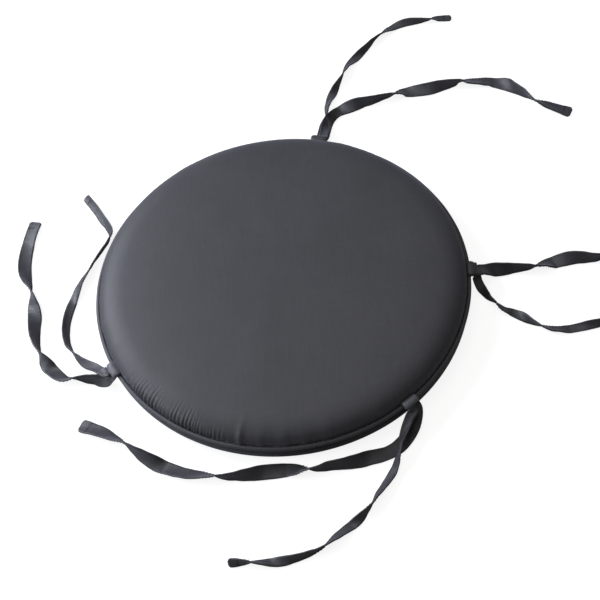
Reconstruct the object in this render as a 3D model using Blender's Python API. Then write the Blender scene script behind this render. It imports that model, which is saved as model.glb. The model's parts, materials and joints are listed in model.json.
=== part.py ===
"""Round knife-edge chair seat pad with four pairs of tie straps.

Two fabric panels are sewn together round a mid-height seam that holds a line of
piping. Inside, a foam disc lies between two layers of wadding. At four places round
the rim a folded strip of the same fabric is caught in the seam and comes out over
the piping as two flat straps, which lie on the surface that the pad rests on.

Units are metres, +Z is up and the origin is the middle of the pad's underside.
"""
import math

import bmesh
import bpy
from mathutils import Matrix, Vector

# Overall sizes of the pad.
PAD_DIAMETER = 0.380
PAD_THICKNESS = 0.040
SEAM_HEIGHT = 0.021

# Cover panels.
COVER_FABRIC = 0.0008
SEAM_ALLOWANCE = 0.010
TOP_SHOULDER = 0.026
TOP_CROWN = 0.0014
BOTTOM_SHOULDER = 0.012
BOTTOM_BULGE = 0.0024
SEAM_WALL = 0.0045

# Piping: a filler cord wrapped in a folded strip whose two edges lie in the seam.
PIPING_CORD_DIAMETER = 0.0026
PIPING_FABRIC = 0.0006
PIPING_CORD_SIDES = 8
PIPING_COVER_SIDES = 9

# Filling.
WADDING_THICKNESS = 0.0036
FOAM_EDGE_RADIUS = 0.006

# Tie straps and the sewn fold that each pair comes from.
WIDE_TIE_WIDTH = 0.0145
NARROW_TIE_WIDTH = 0.0095
TIE_THICKNESS = 0.0018
TIE_SAMPLE = 0.005
LEAVING_RUN = 0.005
FOLD_WIDTH = 0.0165
FOLD_SLOPE = math.radians(50)
FOLD_STRAIGHT = 0.0015
FOLD_ARC_STEPS = 6

# Clearance between pieces that touch on the real pad. The fold is flat where the
# piping under it is round, so it stands off a little more.
GAP = 0.0003
FOLD_CLEARANCE = 0.0006
STRAP_CLEARANCE = 0.0005
TIE_SPREAD = 0.0014

TURN_STEPS = 60
SHOULDER_STEPS = 6
CROWN_STEPS = 3
SHOULDER_POWER = 1.0
UNDERSIDE_POWER = 0.70

# What follows from the sizes above.
PIPING_RADIUS = PIPING_CORD_DIAMETER / 2 + GAP + PIPING_FABRIC
PIPING_LINE = PAD_DIAMETER / 2 - PIPING_RADIUS
FLANGE_HALF = GAP / 2 + PIPING_FABRIC
SEAM_RADIUS = PIPING_LINE - PIPING_RADIUS - GAP
ALLOWANCE_NEAR = FLANGE_HALF + GAP
ALLOWANCE_FAR = ALLOWANCE_NEAR + COVER_FABRIC
ALLOWANCE_INNER = SEAM_RADIUS - SEAM_ALLOWANCE
FOAM_RADIUS = ALLOWANCE_INNER - GAP
FILLING_OFFSET = COVER_FABRIC + GAP
FOAM_OFFSET = FILLING_OFFSET + WADDING_THICKNESS + GAP
FOAM_TOP = PAD_THICKNESS - TOP_CROWN - FOAM_OFFSET
FOAM_ROUND = min(FOAM_EDGE_RADIUS, FOAM_TOP - SEAM_HEIGHT - ALLOWANCE_FAR)
TIE_PITCH = TIE_THICKNESS + TIE_SPREAD
FOLD_THICKNESS = TIE_THICKNESS + TIE_PITCH
NOTCH_RISE = PIPING_RADIUS + FOLD_CLEARANCE + FOLD_THICKNESS / 2 + GAP

# Where each pair of straps is sewn in, as an angle round the rim from +X.
ROOT_ANGLES = {"back": 71.0, "right": -6.0, "front": -57.0, "left": -157.0}

# Each strap: the fold it comes from, its layer there (1 upper, -1 lower), its side (1 is
# anticlockwise round the rim, seen from above) and its width.
TIES = {
    "tie_back_a": ("back", 1, -1, NARROW_TIE_WIDTH),
    "tie_back_b": ("back", -1, 1, WIDE_TIE_WIDTH),
    "tie_right_a": ("right", 1, 1, WIDE_TIE_WIDTH),
    "tie_right_b": ("right", -1, -1, NARROW_TIE_WIDTH),
    "tie_front_a": ("front", -1, 1, WIDE_TIE_WIDTH),
    "tie_front_b": ("front", 1, -1, NARROW_TIE_WIDTH),
    "tie_left_a": ("left", 1, -1, NARROW_TIE_WIDTH),
    "tie_left_b": ("left", -1, 1, WIDE_TIE_WIDTH),
}

# Routes of the straps after they leave the fold: x, y and height of the centreline in
# millimetres, then the turn of the strap about its own length in degrees, 0 lying flat
# and 90 standing on edge. A height of None lays the strap on the surface, whatever its
# turn there. The routes were laid out round a rim of ROUTE_RIM and a seam at
# ROUTE_SEAM, and they move out and up with the real ones.
ROUTE_RIM = 0.190
ROUTE_SEAM = 0.021
TIE_ROUTES = {
    "tie_back_a": [
        (68.5, 192, 16.0, 0), (71.5, 207.5, 11.0, 30), (76, 225, 8.5, 95), (78, 238, 7.2, 125),
        (83, 254, None, 160), (89, 264, None, 210), (99, 280, None, 270), (105, 291, None, 295),
        (112, 303, None, 335), (123, 313, None, 385), (136, 324, None, 430), (148, 336, None, 465),
        (157, 343, None, 490), (169, 351, None, 530), (184, 355, None, 575), (202, 354, None, 625),
        (216, 354, None, 670), (226, 356, None, 715), (241.5, 354, None, 720),
    ],
    "tie_back_b": [
        (66.5, 191, 11.5, 0), (70, 205, 4.6, 0), (74.5, 219, None, 0), (82, 229, None, -5),
        (92, 235.5, None, 0), (103, 237, None, 30), (118, 238, None, 72), (129, 239, None, 90),
        (145, 242, None, 108), (156, 244, None, 130), (168, 248, None, 175), (185, 246, None, 205),
        (197, 245, None, 222), (208, 245, None, 250), (225, 246, None, 280), (237, 248, None, 325),
        (256, 246, None, 345), (268, 243, None, 358), (280, 234.5, None, 395), (287, 226, None, 430),
        (297, 215, None, 455), (307, 203, None, 490), (316, 198, None, 515), (342, 182, None, 540),
    ],
    "tie_right_a": [
        (200.5, -17.5, 16.5, 0), (207, -15, 11.0, 8), (215, -13, 6.5, 30), (225, -14.5, None, 60),
        (240, -16, None, 88), (250, -17, None, 103), (258, -17, None, 125), (267, -14, None, 155),
        (276, -12, None, 180), (286, -12, None, 205), (298, -13.5, None, 235), (313, -17, None, 262),
        (323, -18, None, 280), (345, -15, None, 330), (368, -4, None, 360), (386, 19, None, 360),
        (393, 45, None, 385), (388, 71, None, 360), (376, 93, None, 360),
    ],
    "tie_right_b": [
        (194.5, -29, 14.0, 0), (196.5, -34.5, 10.5, 20), (199.5, -39.5, 7.5, 55),
        (203, -44.5, None, 85), (209, -52, None, 115), (214, -59, None, 145), (222, -64, None, 170),
        (229, -70, None, 205), (237, -79, None, 255), (246, -86, None, 300), (254, -90, None, 325),
        (263, -92, None, 340), (273, -93, None, 360), (283, -93, None, 370), (293, -93, None, 395),
        (303, -93, None, 415), (322, -92, None, 450), (346, -92, None, 500), (370, -102, None, 540),
        (388, -120, None, 540), (395, -145, None, 560), (388, -170, None, 540),
    ],
    "tie_front_a": [
        (106.2, -168.5, 13.1, 0), (102.5, -176.5, 8.0, 0), (96.5, -183.5, 3.5, 0), (90, -189.5, 1.8, 0),
        (83, -194, None, 0), (75, -197, None, 0), (65, -199, None, -8), (57, -200, None, -18),
        (48, -202.5, None, -40), (34, -204, None, -65), (19, -204, None, -80), (8, -205, None, -95),
        (-1, -204, None, -118), (-9, -202, None, -150), (-20, -199, None, -178),
        (-31, -199, None, -195), (-44, -199, None, -210), (-55, -200, None, -235),
        (-67, -200, None, -258), (-79, -199, None, -275), (-93, -195, None, -305),
        (-102, -192, None, -322), (-112, -189, None, -333), (-123, -184, None, -343),
        (-135, -177, None, -355), (-148, -169, None, -400), (-159, -160, None, -428),
        (-171, -148, None, -465), (-183, -138, None, -500), (-194, -129, None, -520),
        (-214, -117, None, -540),
    ],
    "tie_front_b": [
        (101.5, -170.5, 18.1, 0), (97, -176.5, 14.0, 10), (92.5, -184, 11.3, 35), (89.3, -191, 9.9, 60),
        (87.5, -196.5, 9.6, 68), (84, -204, 7.0, 62), (81, -210.5, None, 45), (77, -217.5, None, 30),
        (72.5, -223.5, None, 30), (66, -231, None, 38), (58, -240, None, 57), (53, -247, None, 75),
        (46, -254, None, 105), (39, -259.5, None, 140), (31, -264, None, 180), (21, -270, None, 202),
        (13, -275, None, 222), (4, -281, None, 250), (-6, -285, None, 272), (-19, -288, None, 292),
        (-33, -289, None, 325), (-47, -288, None, 378), (-56, -287, None, 402), (-63, -286, None, 428),
        (-71, -285, None, 460), (-84.5, -283, None, 500),
    ],
    "tie_left_a": [
        (-188.5, -69, 18.0, 0), (-195.5, -61, 13.5, -5), (-203, -54, 9.0, -30), (-209, -47.5, 6.0, -50),
        (-213.5, -41.5, None, -70), (-217.5, -36, None, -95), (-223, -25, None, -122),
        (-225, -12, None, -135), (-224.5, 1, None, -145), (-222, 14, None, -155),
        (-218, 27.5, None, -175), (-214, 37, None, -200), (-208, 51, None, -222),
        (-199, 65, None, -240), (-193, 75, None, -248), (-185, 87, None, -252),
        (-177.5, 98, None, -255), (-173.5, 109, None, -240), (-176.5, 120, None, -225),
        (-182, 131, None, -215), (-188.5, 145.5, None, -215), (-199, 165.5, None, -215),
    ],
    "tie_left_b": [
        (-184.5, -77, 13.0, -35), (-191.5, -74.5, 9.0, -60), (-198, -71.5, 8.0, -75),
        (-206.5, -69, None, -88), (-214.5, -67, None, -108), (-220, -66, None, -122),
        (-227.5, -64.5, None, -140), (-234, -58.5, None, -155), (-241, -49.5, None, -170),
        (-246.5, -41.5, None, -215), (-252, -31.5, None, -265), (-256, -14, None, -300),
        (-257, 2, None, -320), (-257, 16, None, -345), (-258, 31, None, -390), (-260, 46, None, -440),
        (-265, 65, None, -495), (-267, 82, None, -520), (-266, 98, None, -530), (-263, 115, None, -545),
        (-259, 129, None, -550), (-254.5, 142.5, None, -545),
    ],
}

# Colours are linear RGB.
CHARCOAL = (0.045, 0.045, 0.050)
CHARCOAL_PIPING = (0.052, 0.052, 0.058)
FOAM_YELLOW = (0.72, 0.66, 0.48)
WADDING_WHITE = (0.80, 0.80, 0.78)
CORD_WHITE = (0.70, 0.68, 0.62)


def clear_scene():
    """Take away the objects that Blender starts with."""
    for item in list(bpy.data.objects):
        bpy.data.objects.remove(item, do_unlink=True)


def make_material(name, colour, roughness):
    """Return a plain fabric or foam material."""
    material = bpy.data.materials.new(name)
    material.use_nodes = True
    shader = material.node_tree.nodes["Principled BSDF"]
    shader.inputs["Base Color"].default_value = (*colour, 1.0)
    shader.inputs["Roughness"].default_value = roughness
    shader.inputs["Metallic"].default_value = 0.0
    return material


def add_mesh_object(name, mesh, material):
    """Link a mesh to the scene under its node name."""
    item = bpy.data.objects.new(name, mesh)
    item.data.materials.append(material)
    bpy.context.scene.collection.objects.link(item)
    return item


def turned(name, outline, material, closed):
    """Turn an outline of (radius, height) points once round the Z axis.

    The points run top to bottom down the outer side. An outline that isn't closed
    has both its ends on the axis.
    """
    mesh = bpy.data.meshes.new(name)
    points = [(radius, 0.0, height) for radius, height in outline]
    edges = [(i, i + 1) for i in range(len(points) - 1)]
    if closed:
        edges.append((len(points) - 1, 0))
    mesh.from_pydata(points, edges, [])
    item = add_mesh_object(name, mesh, material)
    screw = item.modifiers.new("turn", "SCREW")
    screw.axis = "Z"
    screw.angle = math.tau
    screw.steps = TURN_STEPS
    screw.render_steps = TURN_STEPS
    screw.use_merge_vertices = True
    screw.merge_threshold = 0.00001
    screw.use_normal_calculate = False
    screw.use_smooth_shade = True
    return item


def top_curve(offset, lowest):
    """Return the top panel's curve, moved in by an offset, from the middle to a height."""
    rim = SEAM_RADIUS - offset
    flat = SEAM_RADIUS - TOP_SHOULDER
    edge = PAD_THICKNESS - TOP_CROWN - offset
    start = SEAM_HEIGHT + SEAM_WALL
    points = []
    for step in range(CROWN_STEPS + 1):
        share = step / CROWN_STEPS
        points.append((flat * share, edge + TOP_CROWN * (1 - share * share)))
    for step in range(1, SHOULDER_STEPS + 1):
        angle = math.pi / 2 * (1 - step / SHOULDER_STEPS)
        radius = flat + (rim - flat) * max(math.cos(angle), 0.0) ** SHOULDER_POWER
        height = start + (edge - start) * max(math.sin(angle), 0.0) ** SHOULDER_POWER
        points.append((radius, height))
    points.append((rim, lowest))
    return points


def underside_curve(offset, highest):
    """Return the bottom panel's curve, moved in by an offset, from a height to the middle."""
    neck = SEAM_RADIUS - offset
    wide = SEAM_RADIUS + BOTTOM_BULGE - offset
    flat = SEAM_RADIUS - BOTTOM_SHOULDER
    start = (SEAM_HEIGHT - SEAM_WALL) * 0.6
    points = [(neck, highest), ((neck + wide) / 2, SEAM_HEIGHT - SEAM_WALL)]
    for step in range(SHOULDER_STEPS + 1):
        angle = math.pi / 2 * step / SHOULDER_STEPS
        radius = flat + (wide - flat) * max(math.cos(angle), 0.0) ** UNDERSIDE_POWER
        height = start - (start - offset) * max(math.sin(angle), 0.0) ** UNDERSIDE_POWER
        points.append((radius, height))
    points.append((0.0, offset))
    return points


def build_top_panel(material):
    """Make the upper fabric panel with its edge turned in along the seam."""
    near = SEAM_HEIGHT + ALLOWANCE_NEAR
    far = SEAM_HEIGHT + ALLOWANCE_FAR
    outer = top_curve(0.0, near)
    inner = top_curve(COVER_FABRIC, far)
    edge = [(ALLOWANCE_INNER, near), (ALLOWANCE_INNER, far)]
    panel = turned("top_panel", outer + edge + inner[::-1], material, closed=False)
    for place, angle in ROOT_ANGLES.items():
        cut_notch(panel, "notch_" + place, math.radians(angle))
    return panel


def cut_notch(panel, name, angle):
    """Cut the place where a folded tie strip passes through the seam."""
    low = SEAM_HEIGHT + ALLOWANCE_NEAR - GAP / 2
    high = SEAM_HEIGHT + NOTCH_RISE
    inner = ALLOWANCE_INNER - GAP
    outer = SEAM_RADIUS + GAP
    half = FOLD_WIDTH / 2 + GAP
    bpy.ops.mesh.primitive_cube_add(size=1.0)
    cutter = bpy.context.active_object
    cutter.name = name
    scale = Matrix.Diagonal((outer - inner, 2 * half, high - low, 1.0))
    place = Matrix.Translation(((outer + inner) / 2, 0.0, (high + low) / 2))
    cutter.data.transform(Matrix.Rotation(angle, 4, "Z") @ place @ scale)
    cutter.hide_render = True
    cutter.display_type = "WIRE"
    cut = panel.modifiers.new(name, "BOOLEAN")
    cut.operation = "DIFFERENCE"
    cut.solver = "EXACT"
    cut.object = cutter


def build_bottom_panel(material):
    """Make the lower fabric panel, flat underneath and rolled up to the seam."""
    near = SEAM_HEIGHT - ALLOWANCE_NEAR
    far = SEAM_HEIGHT - ALLOWANCE_FAR
    outer = underside_curve(0.0, near)
    inner = underside_curve(COVER_FABRIC, far)
    edge = [(ALLOWANCE_INNER, far), (ALLOWANCE_INNER, near)]
    return turned("bottom_panel", inner[::-1] + edge + outer, material, closed=False)


def build_foam(material):
    """Make the foam disc with rounded edges."""
    outline = [(0.0, FOAM_TOP)]
    edges = ((FOAM_TOP - FOAM_ROUND, FOAM_ROUND, 90), (FOAM_OFFSET + FOAM_EDGE_RADIUS, FOAM_EDGE_RADIUS, 0))
    for middle, corner, first in edges:
        for degrees in range(first, first - 91, -30):
            angle = math.radians(degrees)
            radius = FOAM_RADIUS - corner + corner * math.cos(angle)
            outline.append((radius, middle + corner * math.sin(angle)))
    outline.append((0.0, FOAM_OFFSET))
    return turned("foam_core", outline, material, closed=False)


def build_wadding_top(material):
    """Make the upper wadding, which fills the space from the foam to the top panel."""
    lowest = SEAM_HEIGHT + SEAM_WALL
    foam_high = FOAM_TOP + GAP
    inner_wall = FOAM_RADIUS + GAP
    outer = top_curve(FILLING_OFFSET, lowest)[:-1]
    foot = SEAM_HEIGHT + ALLOWANCE_FAR + GAP
    toe = SEAM_RADIUS - SEAM_WALL
    corner = FOAM_ROUND
    inner = [(toe, foot), (inner_wall, foot), (inner_wall, foam_high - corner)]
    for degrees in (30, 60, 90):
        angle = math.radians(degrees)
        radius = inner_wall - corner + corner * math.cos(angle)
        inner.append((radius, foam_high - corner + corner * math.sin(angle)))
    inner.append((0.0, foam_high))
    return turned("wadding_top", outer + inner, material, closed=False)


def build_wadding_bottom(material):
    """Make the lower wadding, which fills the space from the foam to the underside."""
    highest = SEAM_HEIGHT - ALLOWANCE_FAR - GAP
    foam_low = FOAM_OFFSET - GAP
    inner_wall = FOAM_RADIUS + GAP
    outer = underside_curve(FILLING_OFFSET, highest)
    corner = FOAM_EDGE_RADIUS
    inner = [(0.0, foam_low)]
    for degrees in (-90, -60, -30):
        angle = math.radians(degrees)
        radius = inner_wall - corner + corner * math.cos(angle)
        inner.append((radius, foam_low + corner + corner * math.sin(angle)))
    inner += [(inner_wall, foam_low + corner), (inner_wall, highest)]
    return turned("wadding_bottom", inner + outer, material, closed=False)


def build_piping_cord(material):
    """Make the filler cord inside the piping."""
    outline = []
    for side in range(PIPING_CORD_SIDES):
        angle = -math.tau * side / PIPING_CORD_SIDES
        radius = PIPING_LINE + PIPING_CORD_DIAMETER / 2 * math.cos(angle)
        outline.append((radius, SEAM_HEIGHT + PIPING_CORD_DIAMETER / 2 * math.sin(angle)))
    return turned("piping_cord", outline, material, closed=True)


def build_piping_cover(material):
    """Make the strip that wraps the filler cord, its two edges lying in the seam."""
    inside = PIPING_CORD_DIAMETER / 2 + GAP
    flange_end = ALLOWANCE_INNER
    mouth_out = math.pi - math.asin(FLANGE_HALF / PIPING_RADIUS)
    mouth_in = math.pi - math.asin(GAP / 2 / inside)
    outline = [(flange_end, SEAM_HEIGHT + FLANGE_HALF)]
    for side in range(PIPING_COVER_SIDES + 1):
        angle = mouth_out - 2 * mouth_out * side / PIPING_COVER_SIDES
        outline.append((PIPING_LINE + PIPING_RADIUS * math.cos(angle),
                        SEAM_HEIGHT + PIPING_RADIUS * math.sin(angle)))
    outline.append((flange_end, SEAM_HEIGHT - FLANGE_HALF))
    outline.append((flange_end, SEAM_HEIGHT - GAP / 2))
    reach = inside / math.cos(math.pi / PIPING_COVER_SIDES)
    for side in range(PIPING_COVER_SIDES + 1):
        angle = -mouth_in + 2 * mouth_in * side / PIPING_COVER_SIDES
        outline.append((PIPING_LINE + reach * math.cos(angle),
                        SEAM_HEIGHT + reach * math.sin(angle)))
    outline.append((flange_end, SEAM_HEIGHT + GAP / 2))
    return turned("piping_cover", outline, material, closed=True)


def fold_outline():
    """Return the outline of a sewn fold in the plane of the radius and the height.

    The tail lies in the seam beside the top panel's edge. The fold then bends over the
    piping and leaves it at a slope, thick enough there for two straps.
    """
    inner = PIPING_RADIUS + FOLD_CLEARANCE
    tail_low = SEAM_HEIGHT + ALLOWANCE_NEAR
    tail_high = SEAM_HEIGHT + ALLOWANCE_FAR
    first = math.pi - math.asin(ALLOWANCE_NEAR / inner)
    last = math.pi / 2 - FOLD_SLOPE
    low_side = [(ALLOWANCE_INNER, tail_low)]
    high_side = [(ALLOWANCE_INNER, tail_high)]
    for step in range(FOLD_ARC_STEPS + 1):
        share = step / FOLD_ARC_STEPS
        angle = first + (last - first) * share
        thickness = COVER_FABRIC + (FOLD_THICKNESS - COVER_FABRIC) * share
        for side, reach in ((low_side, inner), (high_side, inner + thickness)):
            side.append((PIPING_LINE + reach * math.cos(angle),
                         SEAM_HEIGHT + reach * math.sin(angle)))
    run = Vector((math.cos(FOLD_SLOPE), -math.sin(FOLD_SLOPE))) * FOLD_STRAIGHT
    low_side.append((low_side[-1][0] + run.x, low_side[-1][1] + run.y))
    high_side.append((high_side[-1][0] + run.x, high_side[-1][1] + run.y))
    return low_side + high_side[::-1]


def build_fold(name, angle, material):
    """Make the sewn fold of one strip, at its angle round the rim."""
    form = bmesh.new()
    corners = [form.verts.new((radius, -FOLD_WIDTH / 2, height)) for radius, height in fold_outline()]
    face = form.faces.new(corners)
    grown = bmesh.ops.extrude_face_region(form, geom=[face])
    moved = [part for part in grown["geom"] if isinstance(part, bmesh.types.BMVert)]
    bmesh.ops.translate(form, vec=(0.0, FOLD_WIDTH, 0.0), verts=moved)
    bmesh.ops.recalc_face_normals(form, faces=form.faces)
    form.transform(Matrix.Rotation(math.radians(angle), 4, "Z"))
    mesh = bpy.data.meshes.new(name)
    form.to_mesh(mesh)
    form.free()
    return add_mesh_object(name, mesh, material)


def strap_height(turn, width):
    """Return how high the middle of a strap lies above the surface, for its turn."""
    upright = abs(math.sin(turn)) * width / 2
    return GAP + upright + abs(math.cos(turn)) * TIE_THICKNESS / 2


def leaving_points(place, layer, side, width):
    """Return the two points where a strap leaves its fold, square to the fold's end."""
    angle = math.radians(ROOT_ANGLES[place])
    lean = math.pi / 2 - FOLD_SLOPE
    reach = PIPING_RADIUS + FOLD_CLEARANCE + FOLD_THICKNESS / 2 + layer * TIE_PITCH / 2
    aside = side * (FOLD_WIDTH - width) / 2
    points = []
    start = FOLD_STRAIGHT + STRAP_CLEARANCE
    for run in (start, start + LEAVING_RUN):
        radius = PIPING_LINE + reach * math.cos(lean) + run * math.cos(FOLD_SLOPE)
        height = SEAM_HEIGHT + reach * math.sin(lean) - run * math.sin(FOLD_SLOPE)
        x = radius * math.cos(angle) - aside * math.sin(angle)
        y = radius * math.sin(angle) + aside * math.cos(angle)
        points.append(Vector((x, y, height, 0.0)))
    return points


def route_knots(name):
    """Return a strap's route in metres, with its turn as a fourth number."""
    width = TIES[name][-1]
    knots = leaving_points(*TIES[name])
    for x, y, height, degrees in TIE_ROUTES[name]:
        turn = math.radians(degrees)
        away = Vector((x, y)) / 1000
        away += away.normalized() * (PAD_DIAMETER / 2 - ROUTE_RIM)
        lift = strap_height(turn, width)
        if height is not None:
            lift = max(lift, height / 1000 * SEAM_HEIGHT / ROUTE_SEAM)
        knots.append(Vector((away.x, away.y, lift, turn)))
    return knots


def smooth_route(knots):
    """Return evenly spread points of a smooth curve through a route's knots."""
    ends = [2 * knots[0] - knots[1]] + knots + [2 * knots[-1] - knots[-2]]
    dense = []
    for before, start, stop, after in zip(ends, ends[1:], ends[2:], ends[3:]):
        for step in range(16):
            share = step / 16
            bend = 2 * before - 5 * start + 4 * stop - after
            swing = 3 * start - before - 3 * stop + after
            slope = stop - before
            dense.append((2 * start + slope * share + bend * share ** 2 + swing * share ** 3) / 2)
    dense.append(knots[-1])
    lengths = [0.0]
    for one, two in zip(dense, dense[1:]):
        lengths.append(lengths[-1] + (two.xyz - one.xyz).length)
    count = max(2, round(lengths[-1] / TIE_SAMPLE))
    points = []
    place = 0
    for index in range(count + 1):
        target = lengths[-1] * index / count
        while place < len(dense) - 2 and lengths[place + 1] < target:
            place += 1
        span = lengths[place + 1] - lengths[place]
        share = (target - lengths[place]) / span
        points.append(dense[place].lerp(dense[place + 1], min(max(share, 0.0), 1.0)))
    return points


def strap_profile(name, width):
    """Make the flat six-sided section that straps of one width are swept from."""
    curve = bpy.data.curves.new(name, "CURVE")
    curve.dimensions = "2D"
    spline = curve.splines.new("POLY")
    flat = width / 2 - TIE_THICKNESS / 2
    half = TIE_THICKNESS / 2
    corners = [(-width / 2, 0), (-flat, half), (flat, half),
               (width / 2, 0), (flat, -half), (-flat, -half)]
    spline.points.add(len(corners) - 1)
    for point, (x, y) in zip(spline.points, corners):
        point.co = (x, y, 0.0, 1.0)
    spline.use_cyclic_u = True
    section = bpy.data.objects.new(name, curve)
    section.hide_render = True
    section.display_type = "WIRE"
    bpy.context.scene.collection.objects.link(section)
    return section


def build_tie(name, section, material):
    """Sweep the strap section along one tie's route, turned as the route says."""
    points = smooth_route(route_knots(name))
    curve = bpy.data.curves.new(name, "CURVE")
    curve.dimensions = "3D"
    curve.twist_mode = "Z_UP"
    curve.bevel_mode = "OBJECT"
    curve.bevel_object = section
    curve.use_fill_caps = True
    spline = curve.splines.new("POLY")
    spline.points.add(len(points) - 1)
    for target, point in zip(spline.points, points):
        target.co = (point.x, point.y, point.z, 1.0)
        target.tilt = point.w
    curve.materials.append(material)
    tie = bpy.data.objects.new(name, curve)
    bpy.context.scene.collection.objects.link(tie)
    return tie


def main():
    """Build every piece of the pad."""
    clear_scene()
    cover = make_material("cover_fabric", CHARCOAL, 0.78)
    piping = make_material("piping_fabric", CHARCOAL_PIPING, 0.78)
    strap = make_material("tie_fabric", CHARCOAL, 0.80)
    foam = make_material("foam", FOAM_YELLOW, 0.95)
    wadding = make_material("wadding", WADDING_WHITE, 0.98)
    filler = make_material("filler_cord", CORD_WHITE, 0.90)
    build_top_panel(cover)
    build_bottom_panel(cover)
    build_foam(foam)
    build_wadding_top(wadding)
    build_wadding_bottom(wadding)
    build_piping_cord(filler)
    build_piping_cover(piping)
    for place, angle in ROOT_ANGLES.items():
        build_fold("tie_fold_" + place, angle, strap)
    sections = {
        WIDE_TIE_WIDTH: strap_profile("wide_section", WIDE_TIE_WIDTH),
        NARROW_TIE_WIDTH: strap_profile("narrow_section", NARROW_TIE_WIDTH),
    }
    for name, (*_, width) in TIES.items():
        build_tie(name, sections[width], strap)


main()
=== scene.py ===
"""Looks of a round knife-edge seat pad with four pairs of tie straps.

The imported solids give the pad's sizes and the places of its seam. Round them this script
makes the gathered upper cover, the lower cover, the piping, the sewn folds and the eight
twisted straps, and it dresses the filling inside. Units are metres and +Z is up.
"""

import json
import logging
import math
from collections.abc import Callable
from dataclasses import dataclass
from enum import Enum

import bmesh
import bpy
import numpy as np
from mathutils import Matrix, Vector

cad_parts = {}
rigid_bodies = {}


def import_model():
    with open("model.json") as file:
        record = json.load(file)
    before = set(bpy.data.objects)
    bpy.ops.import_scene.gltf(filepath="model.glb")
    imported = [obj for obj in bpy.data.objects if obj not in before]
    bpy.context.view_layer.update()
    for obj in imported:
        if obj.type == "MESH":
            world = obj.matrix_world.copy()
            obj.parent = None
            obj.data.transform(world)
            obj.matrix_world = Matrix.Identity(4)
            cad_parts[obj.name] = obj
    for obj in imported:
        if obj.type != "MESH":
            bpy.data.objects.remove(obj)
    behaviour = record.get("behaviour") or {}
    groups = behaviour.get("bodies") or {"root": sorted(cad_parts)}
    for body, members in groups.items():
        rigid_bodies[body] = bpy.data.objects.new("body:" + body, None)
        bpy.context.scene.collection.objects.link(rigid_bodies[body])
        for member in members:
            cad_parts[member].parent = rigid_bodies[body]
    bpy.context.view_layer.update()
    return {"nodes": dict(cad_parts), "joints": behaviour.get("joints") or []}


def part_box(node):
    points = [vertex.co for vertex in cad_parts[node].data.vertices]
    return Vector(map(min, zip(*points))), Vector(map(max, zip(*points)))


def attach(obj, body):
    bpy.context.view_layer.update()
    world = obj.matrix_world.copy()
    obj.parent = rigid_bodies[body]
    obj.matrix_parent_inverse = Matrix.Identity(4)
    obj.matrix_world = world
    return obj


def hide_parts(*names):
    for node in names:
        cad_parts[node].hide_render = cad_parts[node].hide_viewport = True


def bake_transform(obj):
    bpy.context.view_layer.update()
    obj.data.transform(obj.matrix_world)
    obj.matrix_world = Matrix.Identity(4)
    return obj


for left_over in list(bpy.data.objects):
    bpy.data.objects.remove(left_over, do_unlink=True)
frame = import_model()

MM = 0.001
TINY = 1e-9
SEAM_SHARE = 0.75
log = logging.getLogger("seat_pad")


# Small helpers ---------------------------------------------------------------------------


def catmull(before: np.ndarray, start: np.ndarray, stop: np.ndarray, after: np.ndarray,
            share: np.ndarray) -> np.ndarray:
    """Blend four neighbours into a point of the smooth curve between the middle two.

    Args:
        before: The point before the stretch.
        start: The point where the stretch starts.
        stop: The point where it stops.
        after: The point after it.
        share: How far along the stretch, from 0 to 1.

    Returns:
        The point on the curve.
    """
    bend = 2 * before - 5 * start + 4 * stop - after
    swing = 3 * start - before - 3 * stop + after
    return (2 * start + (stop - before) * share + bend * share ** 2 + swing * share ** 3) / 2


def smoothstep(low: float, high: float, value: np.ndarray) -> np.ndarray:
    """Rise smoothly from 0 at low to 1 at high.

    Args:
        low: Where the rise starts.
        high: Where it ends.
        value: The numbers to look up.

    Returns:
        A number from 0 to 1 for each value.
    """
    share = np.clip((value - low) / (high - low), 0.0, 1.0)
    return share * share * (3 - 2 * share)


def angle_apart(one: np.ndarray, two: np.ndarray | float) -> np.ndarray:
    """Return the signed difference between angles in radians, from -pi to pi."""
    return (one - two + math.pi) % math.tau - math.pi


def mesh_object(name: str, points: np.ndarray, faces: list[tuple[int, ...]]) -> bpy.types.Object:
    """Link a new smooth mesh to the scene.

    Args:
        name: The piece's name.
        points: One row of x, y and z for each vertex.
        faces: The corners of each face.

    Returns:
        The new object.
    """
    mesh = bpy.data.meshes.new(name)
    mesh.from_pydata([tuple(row) for row in points.tolist()], [], faces)
    mesh.update()
    mesh.shade_smooth()
    item = bpy.data.objects.new(name, mesh)
    bpy.context.scene.collection.objects.link(item)
    return item


def run_lengths(points: np.ndarray) -> np.ndarray:
    """Return the length run from a line's first point to each of its points."""
    return np.concatenate([[0.0], np.cumsum(np.linalg.norm(np.diff(points, axis=0), axis=1))])


def tube_faces(rings: int, size: int, flipped: bool = False) -> list[tuple[int, ...]]:
    """Return the faces that join rings of equal size into a tube with closed ends."""
    faces = []
    for low in range(0, (rings - 1) * size, size):
        high = low + size
        for side in range(size):
            after = (side + 1) % size
            one, other = (high + side, low + after) if flipped else (low + after, high + side)
            faces.append((low + side, one, high + after, other))
    caps = [tuple(range(size))[::-1], tuple(range((rings - 1) * size, rings * size))]
    faces += [cap[::-1] for cap in caps] if flipped else caps
    return faces


def vertex_rows(mesh: bpy.types.Mesh, name: str) -> np.ndarray:
    """Return a mesh's vertex positions or normals as rows of three."""
    flat = np.empty(len(mesh.vertices) * 3)
    mesh.vertices.foreach_get(name, flat)
    return flat.reshape(-1, 3)


def apply_modifiers(item: bpy.types.Object) -> None:
    """Apply every modifier of an object, in order."""
    bpy.ops.object.select_all(action="DESELECT")
    item.select_set(True)
    bpy.context.view_layer.objects.active = item
    for name in [modifier.name for modifier in item.modifiers]:
        bpy.ops.object.modifier_apply(modifier=name)


# Finishes --------------------------------------------------------------------------------


class WeaveMap(Enum):
    """Which coordinates the threads of a cloth follow."""

    PLAN = "Object"
    LENGTH = "UV"


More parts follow.
